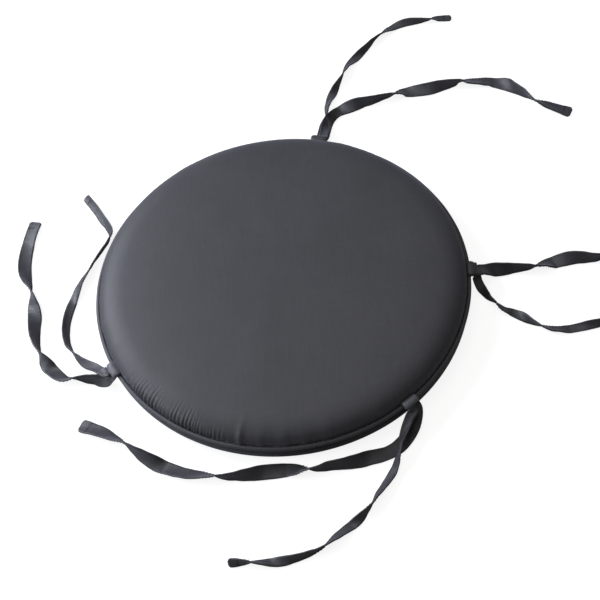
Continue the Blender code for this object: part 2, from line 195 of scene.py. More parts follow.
class NodeBench:
    """Adds and links shader nodes in one material."""

    def __init__(self, name: str) -> None:
        """Start an empty material with one Principled shader."""
        self.material = bpy.data.materials.new(name)
        self.material.use_nodes = True
        self.tree = self.material.node_tree
        self.shader = self.tree.nodes["Principled BSDF"]

    def node(self, kind: str, **settings: object) -> bpy.types.Node:
        """Add a node.

        Args:
            kind: The node's type name.
            **settings: Attributes to set on it.

        Returns:
            The new node.
        """
        made = self.tree.nodes.new(kind)
        for key, value in settings.items():
            setattr(made, key, value)
        return made

    def link(self, source: bpy.types.NodeSocket, target: bpy.types.NodeSocket) -> None:
        """Join an output to an input."""
        self.tree.links.new(source, target)

    def math(self, operation: str, one: object, two: object = 0.0) -> bpy.types.NodeSocket:
        """Add a Math node.

        Args:
            operation: What it works out.
            one: Its first socket or number.
            two: Its second socket or number.

        Returns:
            The result's socket.
        """
        made = self.node("ShaderNodeMath", operation=operation)
        for index, value in enumerate((one, two)):
            if isinstance(value, bpy.types.NodeSocket):
                self.link(value, made.inputs[index])
            else:
                made.inputs[index].default_value = float(value)
        return made.outputs[0]

    def mix(self, one: bpy.types.NodeSocket, two: bpy.types.NodeSocket, share: float) -> bpy.types.NodeSocket:
        """Add two values, of which the second has the given share."""
        return self.math("ADD", self.math("MULTIPLY", one, 1 - share), self.math("MULTIPLY", two, share))

    def coordinates(self, source: WeaveMap, scale: tuple[float, float, float],
                    turn: float = 0.0) -> bpy.types.NodeSocket:
        """Return scaled and turned coordinates.

        Args:
            source: Object or UV coordinates.
            scale: The scale along each axis.
            turn: A turn about the third axis, in radians.

        Returns:
            The socket of the mapped vector.
        """
        texture = self.node("ShaderNodeTexCoord")
        mapping = self.node("ShaderNodeMapping")
        mapping.inputs["Scale"].default_value = scale
        mapping.inputs["Rotation"].default_value = (0.0, 0.0, turn)
        self.link(texture.outputs[source.value], mapping.inputs["Vector"])
        return mapping.outputs["Vector"]

    def noise(self, vector: bpy.types.NodeSocket, scale: float, detail: float) -> bpy.types.NodeSocket:
        """Add a Noise texture and return its factor.

        Args:
            vector: The coordinates.
            scale: How fine the noise is.
            detail: How many finer layers it has.

        Returns:
            The socket of a value that swings round a half.
        """
        made = self.node("ShaderNodeTexNoise")
        made.inputs["Scale"].default_value = scale
        made.inputs["Detail"].default_value = detail
        self.link(vector, made.inputs["Vector"])
        return made.outputs["Fac"]

    def ramp(self, value: bpy.types.NodeSocket, low: tuple[float, ...], high: tuple[float, ...],
             start: float, stop: float) -> bpy.types.NodeSocket:
        """Turn a value into a colour between two colours.

        Args:
            value: The value's socket.
            low: The colour at and below start.
            high: The colour at and above stop.
            start: Where the change starts.
            stop: Where it ends.

        Returns:
            The colour's socket.
        """
        made = self.node("ShaderNodeValToRGB")
        first, last = made.color_ramp.elements
        first.position, first.color = start, (*low, 1.0)
        last.position, last.color = stop, (*high, 1.0)
        self.link(value, made.inputs["Fac"])
        return made.outputs["Color"]

    def bump(self, height: bpy.types.NodeSocket, distance: float, strength: float,
             under: bpy.types.NodeSocket | None = None) -> bpy.types.NodeSocket:
        """Add a Bump node.

        Args:
            height: The height's socket.
            distance: The height of a full step, in metres.
            strength: How much of it shows.
            under: The normal of a coarser bump below it.

        Returns:
            The normal's socket.
        """
        made = self.node("ShaderNodeBump")
        made.inputs["Distance"].default_value = distance
        made.inputs["Strength"].default_value = strength
        self.link(height, made.inputs["Height"])
        if under is not None:
            self.link(under, made.inputs["Normal"])
        return made.outputs["Normal"]


@dataclass(frozen=True)
class WovenCloth:
    """A plain-woven satin-faced cloth: crossing threads, uneven yarn and a soft sheen."""

    name: str
    shade: tuple[float, float, float]
    lift: tuple[float, float, float]
    weave: WeaveMap
    thread: float
    turn: float = 0.0
    roughness: float = 0.52
    roughness_swing: float = 0.16
    sheen: float = 0.25
    sheen_roughness: float = 0.45
    sheen_tint: tuple[float, float, float, float] = (0.80, 0.82, 1.0, 1.0)
    specular: float = 0.5
    depth: float = 0.00012
    slub_width: float = 0.5
    slub_length: float = 0.045
    warp_share: float = 0.6
    cloud_size: float = 14.0
    cloud_share: float = 0.38
    weave_share: float = 0.16
    tone_range: tuple[float, float] = (0.30, 0.70)
    yarn_strength: float = 0.35
    weave_strength: float = 0.55

    def material(self) -> bpy.types.Material:
        """Build the cloth's nodes."""
        bench = NodeBench(self.name)
        pitch = 1.0 / self.thread
        place = bench.coordinates(self.weave, (1.0, 1.0, 1.0), self.turn)
        axes = bench.node("ShaderNodeSeparateXYZ")
        bench.link(place, axes.inputs["Vector"])
        warp = bench.math("SINE", bench.math("MULTIPLY", axes.outputs["X"], math.pi * pitch))
        weft = bench.math("SINE", bench.math("MULTIPLY", axes.outputs["Y"], math.pi * pitch))
        over = bench.math("MULTIPLY", warp, weft)
        weave = bench.math("ADD", bench.math("MULTIPLY", over, 0.5), 0.5)
        fine, slow = pitch * self.slub_width, pitch * self.slub_length
        along = bench.noise(bench.coordinates(self.weave, (fine, slow, slow), self.turn), 1.0, 2.0)
        across = bench.noise(bench.coordinates(self.weave, (slow, fine, slow), self.turn), 1.0, 2.0)
        slub = bench.mix(along, across, 1 - self.warp_share)
        cloudy = bench.noise(bench.coordinates(self.weave, (self.cloud_size,) * 3), 1.0, 3.0)
        yarn = bench.mix(slub, cloudy, self.cloud_share)
        tone = bench.mix(yarn, weave, self.weave_share)
        colour = bench.ramp(tone, self.shade, self.lift, *self.tone_range)
        bench.link(colour, bench.shader.inputs["Base Color"])
        rough = bench.math("ADD", bench.math("MULTIPLY", yarn, self.roughness_swing),
                           self.roughness - self.roughness_swing / 2)
        bench.link(rough, bench.shader.inputs["Roughness"])
        soft = bench.bump(yarn, self.depth * 2.0, self.yarn_strength)
        woven = bench.bump(weave, self.depth, self.weave_strength, soft)
        bench.link(woven, bench.shader.inputs["Normal"])
        bench.shader.inputs["Sheen Weight"].default_value = self.sheen
        bench.shader.inputs["Sheen Roughness"].default_value = self.sheen_roughness
        bench.shader.inputs["Sheen Tint"].default_value = self.sheen_tint
        bench.shader.inputs["Specular IOR Level"].default_value = self.specular
        return bench.material


@dataclass(frozen=True)
class TwistedThread:
    """Sewing thread with its twist showing as fine slanted lines."""

    name: str
    colour: tuple[float, float, float]
    twist: float = 2600.0

    def material(self) -> bpy.types.Material:
        """Build the thread's nodes."""
        bench = NodeBench(self.name)
        place = bench.coordinates(WeaveMap.PLAN, (self.twist, self.twist, self.twist), math.radians(35))
        strand = bench.noise(place, 1.0, 1.0)
        dark = tuple(part * 0.6 for part in self.colour)
        bench.link(bench.ramp(strand, dark, self.colour, 0.35, 0.65), bench.shader.inputs["Base Color"])
        bench.link(bench.bump(strand, 0.00006, 0.5), bench.shader.inputs["Normal"])
        bench.shader.inputs["Roughness"].default_value = 0.5
        return bench.material


@dataclass(frozen=True)
class FoamCells:
    """Open-celled foam: small round pores in a pale body."""

    name: str
    colour: tuple[float, float, float]
    cells: float = 900.0
    blotches: float = 60.0

    def material(self) -> bpy.types.Material:
        """Build the foam's nodes."""
        bench = NodeBench(self.name)
        place = bench.coordinates(WeaveMap.PLAN, (1.0, 1.0, 1.0))
        pores = bench.node("ShaderNodeTexVoronoi")
        pores.inputs["Scale"].default_value = self.cells
        bench.link(place, pores.inputs["Vector"])
        dark = tuple(part * 0.72 for part in self.colour)
        tone = bench.mix(pores.outputs["Distance"], bench.noise(place, self.blotches, 2.0), 0.3)
        bench.link(bench.ramp(tone, dark, self.colour, 0.15, 0.55), bench.shader.inputs["Base Color"])
        bench.link(bench.bump(pores.outputs["Distance"], 0.0005, 0.6), bench.shader.inputs["Normal"])
        bench.shader.inputs["Roughness"].default_value = 0.95
        return bench.material


@dataclass(frozen=True)
class LooseFibre:
    """Fibre wadding or a soft spun cord: tangled pale fibres."""

    name: str
    colour: tuple[float, float, float]
    fibres: float = 420.0

    def material(self) -> bpy.types.Material:
        """Build the fibres' nodes."""
        bench = NodeBench(self.name)
        long_way = bench.coordinates(WeaveMap.PLAN, (self.fibres, self.fibres * 0.12, self.fibres))
        cross_way = bench.coordinates(WeaveMap.PLAN, (self.fibres * 0.12, self.fibres, self.fibres))
        tangle = bench.math("MAXIMUM", bench.noise(long_way, 1.0, 3.0), bench.noise(cross_way, 1.0, 3.0))
        dark = tuple(part * 0.8 for part in self.colour)
        bench.link(bench.ramp(tangle, dark, self.colour, 0.4, 0.7), bench.shader.inputs["Base Color"])
        bench.link(bench.bump(tangle, 0.0006, 0.6), bench.shader.inputs["Normal"])
        bench.shader.inputs["Roughness"].default_value = 0.97
        bench.shader.inputs["Sheen Weight"].default_value = 0.3
        return bench.material


@dataclass(frozen=True)
class PaleFloor:
    """A plain pale floor with a faint unevenness."""

    name: str = "pale_floor"
    colour: tuple[float, float, float] = (0.40, 0.40, 0.40)
    glow: float = 0.86

    def material(self) -> bpy.types.Material:
        """Build the floor's nodes."""
        bench = NodeBench(self.name)
        place = bench.coordinates(WeaveMap.PLAN, (1.0, 1.0, 1.0))
        dull = tuple(part * 0.985 for part in self.colour)
        bench.link(bench.ramp(bench.noise(place, 3.0, 2.0), dull, self.colour, 0.3, 0.7),
                   bench.shader.inputs["Base Color"])
        bench.shader.inputs["Roughness"].default_value = 0.9
        bench.shader.inputs["Specular IOR Level"].default_value = 0.1
        bench.shader.inputs["Emission Color"].default_value = (1.0, 1.0, 1.0, 1.0)
        seen = bench.node("ShaderNodeLightPath").outputs["Is Camera Ray"]
        bench.link(bench.math("MULTIPLY", seen, self.glow), bench.shader.inputs["Emission Strength"])
        return bench.material


CHARCOAL = (0.036, 0.036, 0.040)
CHARCOAL_LIFT = (0.058, 0.058, 0.064)
COVER_CLOTH = WovenCloth("charcoal_cover_cloth", CHARCOAL, CHARCOAL_LIFT, WeaveMap.PLAN, 0.00075)
# The piping cloth is lighter than the cover cloth: a painted highlight along the round cord.
PAINTED_HIGHLIGHT_PIPING_CLOTH = WovenCloth("charcoal_piping_cloth_painted_highlight", (0.052, 0.053, 0.059), (0.084, 0.086, 0.094),
                          WeaveMap.LENGTH, 0.00070, math.radians(45))
STRAP_CLOTH = WovenCloth("charcoal_strap_cloth", (0.034, 0.034, 0.038), (0.056, 0.056, 0.062),
                         WeaveMap.LENGTH, 0.00070, roughness=0.46, sheen=0.35)
# Lighter copy of the strap cloth for two of the folds: painted light, standing in for the light that falls on
# their upper faces.
PAINTED_LIGHT_FOLD_CLOTH = WovenCloth("charcoal_fold_cloth_painted_light", (0.092, 0.095, 0.105), (0.130, 0.134, 0.147),
                        WeaveMap.LENGTH, 0.00070, roughness=0.46, sheen=0.35)
STRAP_THREAD = TwistedThread("charcoal_sewing_thread", (0.014, 0.014, 0.016))
FOAM = FoamCells("cream_foam", (0.72, 0.66, 0.48))
WADDING = LooseFibre("white_wadding", (0.80, 0.80, 0.78))
FILLER = LooseFibre("spun_filler_cord", (0.70, 0.68, 0.62), 900.0)


# The pad ---------------------------------------------------------------------------------


@dataclass(frozen=True)
class PadSizes:
    """The pad's own sizes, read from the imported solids."""

    rim: float
    thickness: float
    seam_radius: float
    seam_height: float
    piping_radius: float

    @property
    def piping_line(self) -> float:
        """Return the radius of the piping's middle."""
        return self.rim - self.piping_radius

    @classmethod
    def from_frame(cls) -> "PadSizes":
        """Read the sizes from the boxes of the covers and the piping."""
        top_low, top_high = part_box("top_panel")
        piping_low, piping_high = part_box("piping_cover")
        return cls(
            rim=piping_high.x,
            thickness=top_high.z,
            seam_radius=top_high.x,
            seam_height=(piping_low.z + piping_high.z) / 2,
            piping_radius=(piping_high.z - piping_low.z) / 2,
        )


@dataclass(frozen=True)
class EdgeShape:
    """How one side of the pad bulges out of the seam and rounds over to its middle.

    The belly is how far the widest ring stands from the seam's height, the crown is how far
    the middle rises above the shoulder, and a power under 1 makes the shoulder squarer.
    """

    shoulder: float
    bulge: float
    belly: float
    crown: float
    power: float

    def outline(self, sizes: PadSizes, side: int, steps: int) -> np.ndarray:
        """Return the outline as rows of radius and height, from the seam inwards.

        Args:
            sizes: The pad's sizes.
            side: 1 for the upper side and -1 for the lower one.
            steps: How many rows each of its three stretches has.

        Returns:
            The rows of all three stretches.
        """
        seam = sizes.seam_height + side * sizes.piping_radius * SEAM_SHARE
        belly = sizes.seam_height + side * self.belly
        edge = (sizes.thickness if side > 0 else 0.0) - side * self.crown
        widest = sizes.seam_radius + self.bulge
        flat = sizes.seam_radius - self.shoulder
        turns = np.linspace(0.0, 1.0, steps, endpoint=False) * math.pi / 2
        sine, cosine = np.sin(turns), np.cos(turns)
        shares = np.linspace(0.0, 1.0, steps)
        wall = (sizes.seam_radius + self.bulge * sine, belly - (belly - seam) * cosine)
        over = (flat + (widest - flat) * cosine ** self.power, belly + (edge - belly) * sine ** self.power)
        middle = (flat * (1 - shares), edge + side * self.crown * (1 - (1 - shares) ** 2))
        return np.concatenate([np.stack(rows, axis=1) for rows in (wall, over, middle)])


@dataclass
class PadForm:
    """The stuffed shape under both covers, swollen by a cloth simulation.

    The shape is a net of rings round the pad. The upper net runs from the seam to the
    middle of the top, and the lower one from the seam to the middle of the underside.
    """

    sizes: PadSizes
    segments: int = 240
    ring_step: float = 0.0052
    shoulder_steps: int = 24
    top_edge: EdgeShape = EdgeShape(0.027, 0.0003, 0.0045, 0.0010, 1.0)
    under_edge: EdgeShape = EdgeShape(0.012, 0.0030, 0.0115, 0.0, 0.8)
    sunk: float = 0.0006
    pressure: float = 4.0
    mass: float = 0.3
    stretch: float = 12.0
    shear: float = 4.0
    bending: float = 0.3
    quality: int = 5
    frames: int = 20
    most_swell: float = 0.0016
    most_sink: float = 0.00022
    most_slip: float = 0.0008
    smoothing: int = 14

    def even_rings(self, outline: np.ndarray) -> np.ndarray:
        """Spread rings evenly along an outline, as rows of radius and height."""
        lengths = run_lengths(outline)
        count = round(lengths[-1] / self.ring_step)
        wanted = np.linspace(0.0, lengths[-1], count + 1)
        return np.stack([np.interp(wanted, lengths, outline[:, axis]) for axis in (0, 1)], axis=1)

    def net(self, rings: np.ndarray) -> np.ndarray:
        """Turn rings once round the pad, as an array of ring, segment and x, y, z."""
        turns = np.arange(self.segments) * math.tau / self.segments
        radius = rings[:, 0][:, None]
        height = np.repeat(rings[:, 1][:, None], self.segments, axis=1)
        return np.stack([radius * np.cos(turns), radius * np.sin(turns), height], axis=2)

    def build(self) -> None:
        """Make both nets, swell them, and keep the result for the covers."""
        top = self.top_edge.outline(self.sizes, 1, self.shoulder_steps)
        under = self.under_edge.outline(self.sizes, -1, self.shoulder_steps)
        self.top = self.net(self.even_rings(top))
        self.under = self.net(self.even_rings(under))
        self.swell()
        log.info("pad_form: %d upper and %d lower rings", len(self.top), len(self.under))

    def bag(self) -> tuple[np.ndarray, list[tuple[int, ...]], list[int]]:
        """Join both nets into one closed bag.

        Returns:
            The bag's points, its faces, and the points of the seam and the flat underside.
        """
        top_count = len(self.top)
        start_top = self.top.copy()
        inwards = self.sizes.seam_radius - np.linalg.norm(start_top[1:, :, :2], axis=2)
        start_top[1:, :, 2] -= self.sunk * smoothstep(0.0, self.top_edge.shoulder, inwards)
        rings = [*start_top[top_count - 2::-1], *self.under[:-1]]
        points = np.concatenate([start_top[-1][:1], *rings, self.under[-1][:1]])
        last = 1 + (len(rings) - 1) * self.segments
        faces = []
        for low in range(1, last, self.segments):
            high = low + self.segments
            for place in range(self.segments):
                after = (place + 1) % self.segments
                faces.append((low + place, high + place, high + after, low + after))
        for place in range(self.segments):
            after = (place + 1) % self.segments
            faces.append((0, 1 + place, 1 + after))
            faces.append((len(points) - 1, last + after, last + place))
        seam = range(1 + (top_count - 2) * self.segments, 1 + top_count * self.segments)
        flat_from = self.sizes.seam_radius - self.under_edge.shoulder
        flat = (points[:, 2] < MM) & (np.linalg.norm(points[:, :2], axis=1) < flat_from)
        return points, faces, sorted({*seam, *np.nonzero(flat)[0].tolist()})

    def simulate(self, bag: bpy.types.Object, held: list[int]) -> np.ndarray:
        """Blow a bag up as cloth.

        Args:
            bag: The bag's object.
            held: The points that stay where they are.

        Returns:
            Where each point ends.
        """
        bag.vertex_groups.new(name="held").add(held, 1.0, "REPLACE")
        cloth = bag.modifiers.new("swell", "CLOTH")
        settings = cloth.settings
        settings.quality = self.quality
        settings.mass = self.mass
        settings.tension_stiffness = settings.compression_stiffness = self.stretch
        settings.shear_stiffness = self.shear
        settings.bending_stiffness = self.bending
        settings.use_pressure = True
        settings.uniform_pressure_force = self.pressure
        settings.vertex_group_mass = "held"
        settings.effector_weights.gravity = 0.0
        cloth.collision_settings.use_collision = False
        scene = bpy.context.scene
        for number in range(1, self.frames + 1):
            scene.frame_set(number)
        swollen = bag.evaluated_get(bpy.context.evaluated_depsgraph_get()).to_mesh()
        result = vertex_rows(swollen, "co")
        scene.frame_set(1)
        return result

    def swell(self) -> None:
        """Blow the two nets up as one closed bag whose seam and underside are held.

        The simulation creases single points, so its moves are limited and evened out.
        """
        points, faces, held = self.bag()
        bag = mesh_object("swelling_bag", points, faces)
        move = self.simulate(bag, held) - points
        facing = vertex_rows(bag.data, "normal")
        bpy.data.objects.remove(bag, do_unlink=True)
        out = np.sum(move * facing, axis=1, keepdims=True)
        slip = move - out * facing
        far = np.linalg.norm(slip, axis=1, keepdims=True)
        log.info("swell: out %.2f to %.2f mm, slip up to %.2f mm",
                 out.min() / MM, out.max() / MM, far.max() / MM)
        free = np.ones((len(points), 1))
        free[held] = 0.0
        limit = np.where(out < 0.0, self.most_sink, self.most_swell)
        slip *= np.minimum(1.0, self.most_slip / np.maximum(far, TINY))
        out = self.smooth(limit * np.tanh(out / limit), free)
        result = points + facing * out + self.smooth(slip, free)
        body = result[1:-1].reshape(-1, self.segments, 3)
        top_count = len(self.top)
        self.top[:-1] = body[top_count - 2::-1]
        self.top[-1] = result[0]
        self.under[:-1] = body[top_count - 1:]
        self.under[-1] = result[-1]

    def smooth(self, moves: np.ndarray, free: np.ndarray) -> np.ndarray:
        """Even out moves between neighbours on the bag, and leave its held points alone.

        Args:
            moves: One row for each point of the bag, whose first and last are its middles.
            free: 1 for each point that may move and 0 for each that is held.

        Returns:
            The evened moves.
        """
        width = moves.shape[1]
        body = moves[1:-1].reshape(-1, self.segments, width)
        mask = free[1:-1].reshape(-1, self.segments, 1)
        for _ in range(self.smoothing):
            round_the_pad = (np.roll(body, 1, axis=1) + 2 * body + np.roll(body, -1, axis=1)) / 4
            padded = np.concatenate([round_the_pad[:1], round_the_pad, round_the_pad[-1:]])
            body = (padded[:-2] + 2 * padded[1:-1] + padded[2:]) / 4 * mask
        moved = moves.copy()
        moved[1:-1] = body.reshape(-1, width)
        return moved

    def sample(self, net: np.ndarray, rings: np.ndarray, turns: np.ndarray) -> np.ndarray:
        """Read smooth points off a net.

        Args:
            net: The upper or the lower net.
            rings: A ring number for each point, which may lie between two rings.
            turns: An angle round the pad for each point, in radians.

        Returns:
            One row of x, y and z for each point.
        """
        count = len(net)
        ring = np.clip(np.floor(rings).astype(int), 0, count - 2)
        down = (rings - ring)[:, None]
        place = turns / math.tau * self.segments
        base = np.floor(place).astype(int)
        round_share = (place - base)[:, None]
        rows = []
        for step in (-1, 0, 1, 2):
            line = np.clip(ring + step, 0, count - 1)
            near = [net[line, (base + aside) % self.segments] for aside in (-1, 0, 1, 2)]
            rows.append(catmull(*near, round_share))
        return catmull(*rows, down)


@dataclass(frozen=True)
class Pucker:
    """One broad soft pucker: a place round the rim, and its width, length and height."""

    place: float
    width: float
    length: float
    height: float


@dataclass
class RingNet:
    """A fine net of rings whose count halves twice on the way in."""

    sizes: PadSizes
    rim_segments: int = 1200
    rim_rings: int = 26
    rim_step: float = 0.0011
    middle_rings: int = 10
    middle_step: float = 0.0022
    inner_rings: int = 22

    def layout(self, length: float) -> list[tuple[float, int]]:
        """Return each ring's distance from the seam and its number of segments."""
        rings = [(index * self.rim_step, self.rim_segments) for index in range(self.rim_rings)]
        start = rings[-1][0] + self.rim_step * 1.6
        rings += [(start + index * self.middle_step, self.rim_segments // 2)
                  for index in range(self.middle_rings)]
        start = rings[-1][0] + self.middle_step * 1.6
        reach = length - start
        rings += [(start + reach * index / self.inner_rings, self.rim_segments // 4)
                  for index in range(self.inner_rings)]
        return rings

    def faces(self, rings: list[tuple[float, int]]) -> list[tuple[int, ...]]:
        """Join neighbouring rings, with three triangles where the count halves."""
        made = []
        start = 0
        for (_, count), (_, inner) in zip(rings, rings[1:]):
            after = start + count
            for place in range(inner):
                following = (place + 1) % inner
                if inner == count:
                    made.append((start + place, start + following, after + following, after + place))
                    continue
                left, middle = start + 2 * place, start + 2 * place + 1
                right = start + (2 * place + 2) % count
                made.append((left, middle, after + place))
                made.append((middle, after + following, after + place))
                made.append((middle, right, after + following))
            start = after
        last = rings[-1][1]
        centre = start + last
        made += [(start + place, start + (place + 1) % last, centre) for place in range(last)]
        return made


@dataclass
class Cover:
    """One fabric panel of the pad, gathered where it meets the seam."""

    form: PadForm
    net: RingNet
    fabric: float = 0.0008
    fill: float = 0.9
    seed: int = 7
    uneven: tuple[float, float] = (0.62, 1.38)
    valley: float = 0.62
    fading: float = 1.6

    name = "cover"
    node = "top_panel"
    outward = 1

    def own_net(self) -> np.ndarray:
        """Return the stuffed net that this panel lies on."""
        raise NotImplementedError

    def gathers(self, turns: np.ndarray, depth: np.ndarray) -> np.ndarray:
        """Return how far each point stands out of the stuffed shape."""
        raise NotImplementedError

    def build(self, finish: bpy.types.Material) -> bpy.types.Object:
        """Make the panel and dress it.

        Args:
            finish: The cloth's material.

        Returns:
            The finished panel.
        """
        net = self.own_net()
        lengths = run_lengths(net[:, 0])
        rings = self.net.layout(lengths[-1])
        depth = np.concatenate([np.full(count, far) for far, count in rings] + [[lengths[-1]]])
        turns = np.concatenate([np.arange(count) * math.tau / count for _, count in rings] + [[0.0]])
        numbers = np.interp(depth, lengths, np.arange(len(lengths)))
        points = self.form.sample(net, numbers, turns)
        faces = self.net.faces(rings)
        if self.outward < 0:
            faces = [face[::-1] for face in faces]
        item = mesh_object(self.name, points, faces)
        points = points + vertex_rows(item.data, "normal") * self.gathers(turns, depth)[:, None]
        item.data.vertices.foreach_set("co", points.astype(np.float32).ravel())
        item.data.update()
        wall = item.modifiers.new("cloth", "SOLIDIFY")
        wall.thickness = self.fabric
        wall.offset = -1.0
        apply_modifiers(item)
        item.data.shade_smooth()
        item.data.materials.append(finish)
        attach(item, "pad")
        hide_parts(self.node)
        log.info("%s: %d faces", self.name, len(item.data.polygons))
        return item

    def valleys(self, spacing: Callable[[float], float], seed: int) -> np.ndarray:
        """Place valleys round the rim.

        Args:
            spacing: A function that gives the spacing in metres at an angle in radians.
            seed: The seed of their unevenness.

        Returns:
            The valleys' angles, rising from -pi to pi.
        """
        random = np.random.default_rng(seed)
        places = []
        angle = -math.pi
        while angle < math.pi:
            places.append(angle)
            angle += spacing(angle) / self.form.sizes.seam_radius * random.uniform(*self.uneven)
        places[-1] = math.pi
        return np.array(places)

    def spans(self, places: np.ndarray, angles: np.ndarray) -> tuple[np.ndarray, np.ndarray]:
        """Return the valley after each angle, and how far the angle lies towards it."""
        after = np.clip(np.searchsorted(places, angles, side="right"), 1, len(places) - 1)
        return after, (angles - places[after - 1]) / (places[after] - places[after - 1])


@dataclass
class TopCover(Cover):
    """The upper panel: closely gathered at the near left, nearly smooth elsewhere."""

    dense_from: float = math.radians(-149)
    dense_to: float = math.radians(-115)
    dense_fade: float = math.radians(7)
    dense_spacing: float = 0.0039
    loose_spacing: float = 0.0085
    dense_depth: float = 0.0027
    loose_depth: float = 0.00045
    dense_length: float = 0.0098
    loose_length: float = 0.0075
    deep_range: tuple[float, float] = (0.65, 1.25)
    reach_range: tuple[float, float] = (0.55, 1.35)
    puff_power: float = 0.75
    seam_share: float = 0.7
    seam_run: float = 0.0015
    waves: tuple[tuple[int, float, float], ...] = (
        (3, 0.00016, 0.4), (5, 0.00012, 2.1), (9, 0.00007, 4.0), (14, 0.00005, 1.2))
    wave_drift: float = 18.0
    wave_start: float = 0.012
    wave_end: tuple[float, float] = (0.10, 0.18)
    puckers: tuple[Pucker, ...] = (
        Pucker(math.radians(-173), 0.0060, 0.016, 0.0007),
        Pucker(math.radians(-163), 0.0055, 0.018, 0.0008),
        Pucker(math.radians(-109), 0.0032, 0.018, 0.0014),
        Pucker(math.radians(-103), 0.0050, 0.015, 0.0007),
        Pucker(math.radians(-96), 0.0060, 0.017, 0.0008),
        Pucker(math.radians(-90), 0.0050, 0.013, 0.0006),
        Pucker(math.radians(-83), 0.0070, 0.018, 0.0007),
        Pucker(math.radians(-67), 0.0060, 0.014, 0.0006),
        Pucker(math.radians(-48), 0.0080, 0.014, 0.0004),
        Pucker(math.radians(62), 0.0090, 0.014, 0.0004),
        Pucker(math.radians(118), 0.0090, 0.016, 0.0004),
    )

    name = "top_cover"

    def own_net(self) -> np.ndarray:
        """Return the upper net."""
        return self.form.top

    def crowding(self, turns: np.ndarray | float) -> np.ndarray:
        """Return 1 where the gathers crowd together and 0 where they are loose."""
        middle = (self.dense_from + self.dense_to) / 2
        half = (self.dense_to - self.dense_from) / 2
        apart = np.abs(angle_apart(np.asarray(turns, dtype=float), middle))
        return 1.0 - smoothstep(half - self.dense_fade / 2, half + self.dense_fade / 2, apart)

    def gathers(self, turns: np.ndarray, depth: np.ndarray) -> np.ndarray:
        """Return how far each point stands out: sharp valleys, round puffs and puckers."""
        def spacing(angle: float) -> float:
            share = float(self.crowding(angle))
            return self.loose_spacing + (self.dense_spacing - self.loose_spacing) * share

        random = np.random.default_rng(self.seed)
        places = self.valleys(spacing, self.seed)
        angles = angle_apart(turns, 0.0)
        after, phase = self.spans(places, angles)
        blend = phase * phase * (3 - 2 * phase)

        def own(least: float, most: float) -> np.ndarray:
            drawn = random.uniform(least, most, len(places))
            drawn[-1] = drawn[0]
            return drawn[after - 1] * (1 - blend) + drawn[after] * blend

        own_deep = own(*self.deep_range)
        own_reach = own(*self.reach_range)
        share = self.crowding(angles)
        height = (self.loose_depth + (self.dense_depth - self.loose_depth) * share) * own_deep
        length = (self.loose_length + (self.dense_length - self.loose_length) * share) * own_reach
        puff = np.sin(math.pi * phase) ** self.puff_power
        at_seam = self.seam_share + (1 - self.seam_share) * smoothstep(0.0, self.seam_run, depth)
        rise = height * (puff - self.valley) * np.exp(-(depth / length) ** self.fading) * at_seam
        for pucker in self.puckers:
            aside = angle_apart(angles, pucker.place) * self.form.sizes.seam_radius
            spread = (aside / pucker.width) ** 2 + (depth / pucker.length) ** 2
            rise += pucker.height * np.exp(-spread)
        slow = 0.0
        for waves, size, shift in self.waves:
            slow = slow + size * np.sin(waves * angles + shift + depth * self.wave_drift)
        starts = smoothstep(0.0, self.wave_start, depth)
        return rise + slow * starts * (1 - smoothstep(*self.wave_end, depth))


@dataclass
class BottomCover(Cover):
    """The lower panel: flat where it rests, with a few shallow tucks under the seam."""

    spacing: float = 0.013
    depth: float = 0.00028
    length: float = 0.0065
    puff_power: float = 0.8
    seed_shift: int = 5

    name = "bottom_cover"
    node = "bottom_panel"
    outward = -1

    def own_net(self) -> np.ndarray:
        """Return the lower net."""
        return self.form.under

    def gathers(self, turns: np.ndarray, depth: np.ndarray) -> np.ndarray:
        """Return how far each point stands out of the stuffed shape."""
        places = self.valleys(lambda angle: self.spacing, self.seed + self.seed_shift)
        phase = self.spans(places, angle_apart(turns, 0.0))[1]
        puff = np.sin(math.pi * phase) ** self.puff_power
        return self.depth * (puff - self.valley) * np.exp(-(depth / self.length) ** self.fading)


@dataclass
class Piping:
    """The round cloth-covered cord along the seam."""

    sizes: PadSizes
    segments: int = 720
    sides: int = 14
    wander: float = 0.00022
    rises: tuple[tuple[int, float, float], ...] = ((7, 1.0, 0.6), (17, 0.6, 2.0), (41, 0.4, 0.0))
    sways: tuple[tuple[int, float, float], ...] = ((11, 1.0, 1.0 + math.pi / 2), (29, 0.5, 0.3))

    def build(self, finish: bpy.types.Material) -> bpy.types.Object:
        """Model the piping from a torus, let it wander a little, and dress it.

        Args:
            finish: The piping cloth's material.

        Returns:
            The finished piping.
        """
        line = self.sizes.piping_line
        bpy.ops.object.select_all(action="DESELECT")
        bpy.ops.mesh.primitive_torus_add(
            major_radius=line, minor_radius=self.sizes.piping_radius, major_segments=self.segments,
            minor_segments=self.sides, location=(0.0, 0.0, self.sizes.seam_height), generate_uvs=True)
        item = bpy.context.active_object
        item.name = item.data.name = "piping"
        bpy.ops.object.transform_apply(location=True, rotation=True, scale=True)
        for vertex in item.data.vertices:
            turn = math.atan2(vertex.co.y, vertex.co.x)
            rise = sum(size * math.sin(waves * turn + shift) for waves, size, shift in self.rises)
            away = 1 + sum(size * math.sin(waves * turn + shift) for waves, size, shift in self.sways)
            vertex.co.z += self.wander * 0.5 * rise
            vertex.co.x -= self.wander * 0.4 * away * math.cos(turn)
            vertex.co.y -= self.wander * 0.4 * away * math.sin(turn)
        girth = math.tau * self.sizes.piping_radius
        for corner in item.data.uv_layers.active.data:
            corner.uv = (corner.uv[0] * math.tau * line, corner.uv[1] * girth)
        item.data.shade_smooth()
        item.data.materials.append(finish)
        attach(item, "pad")
        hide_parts("piping_cover")
        log.info("piping: %d faces", len(item.data.polygons))
        return item


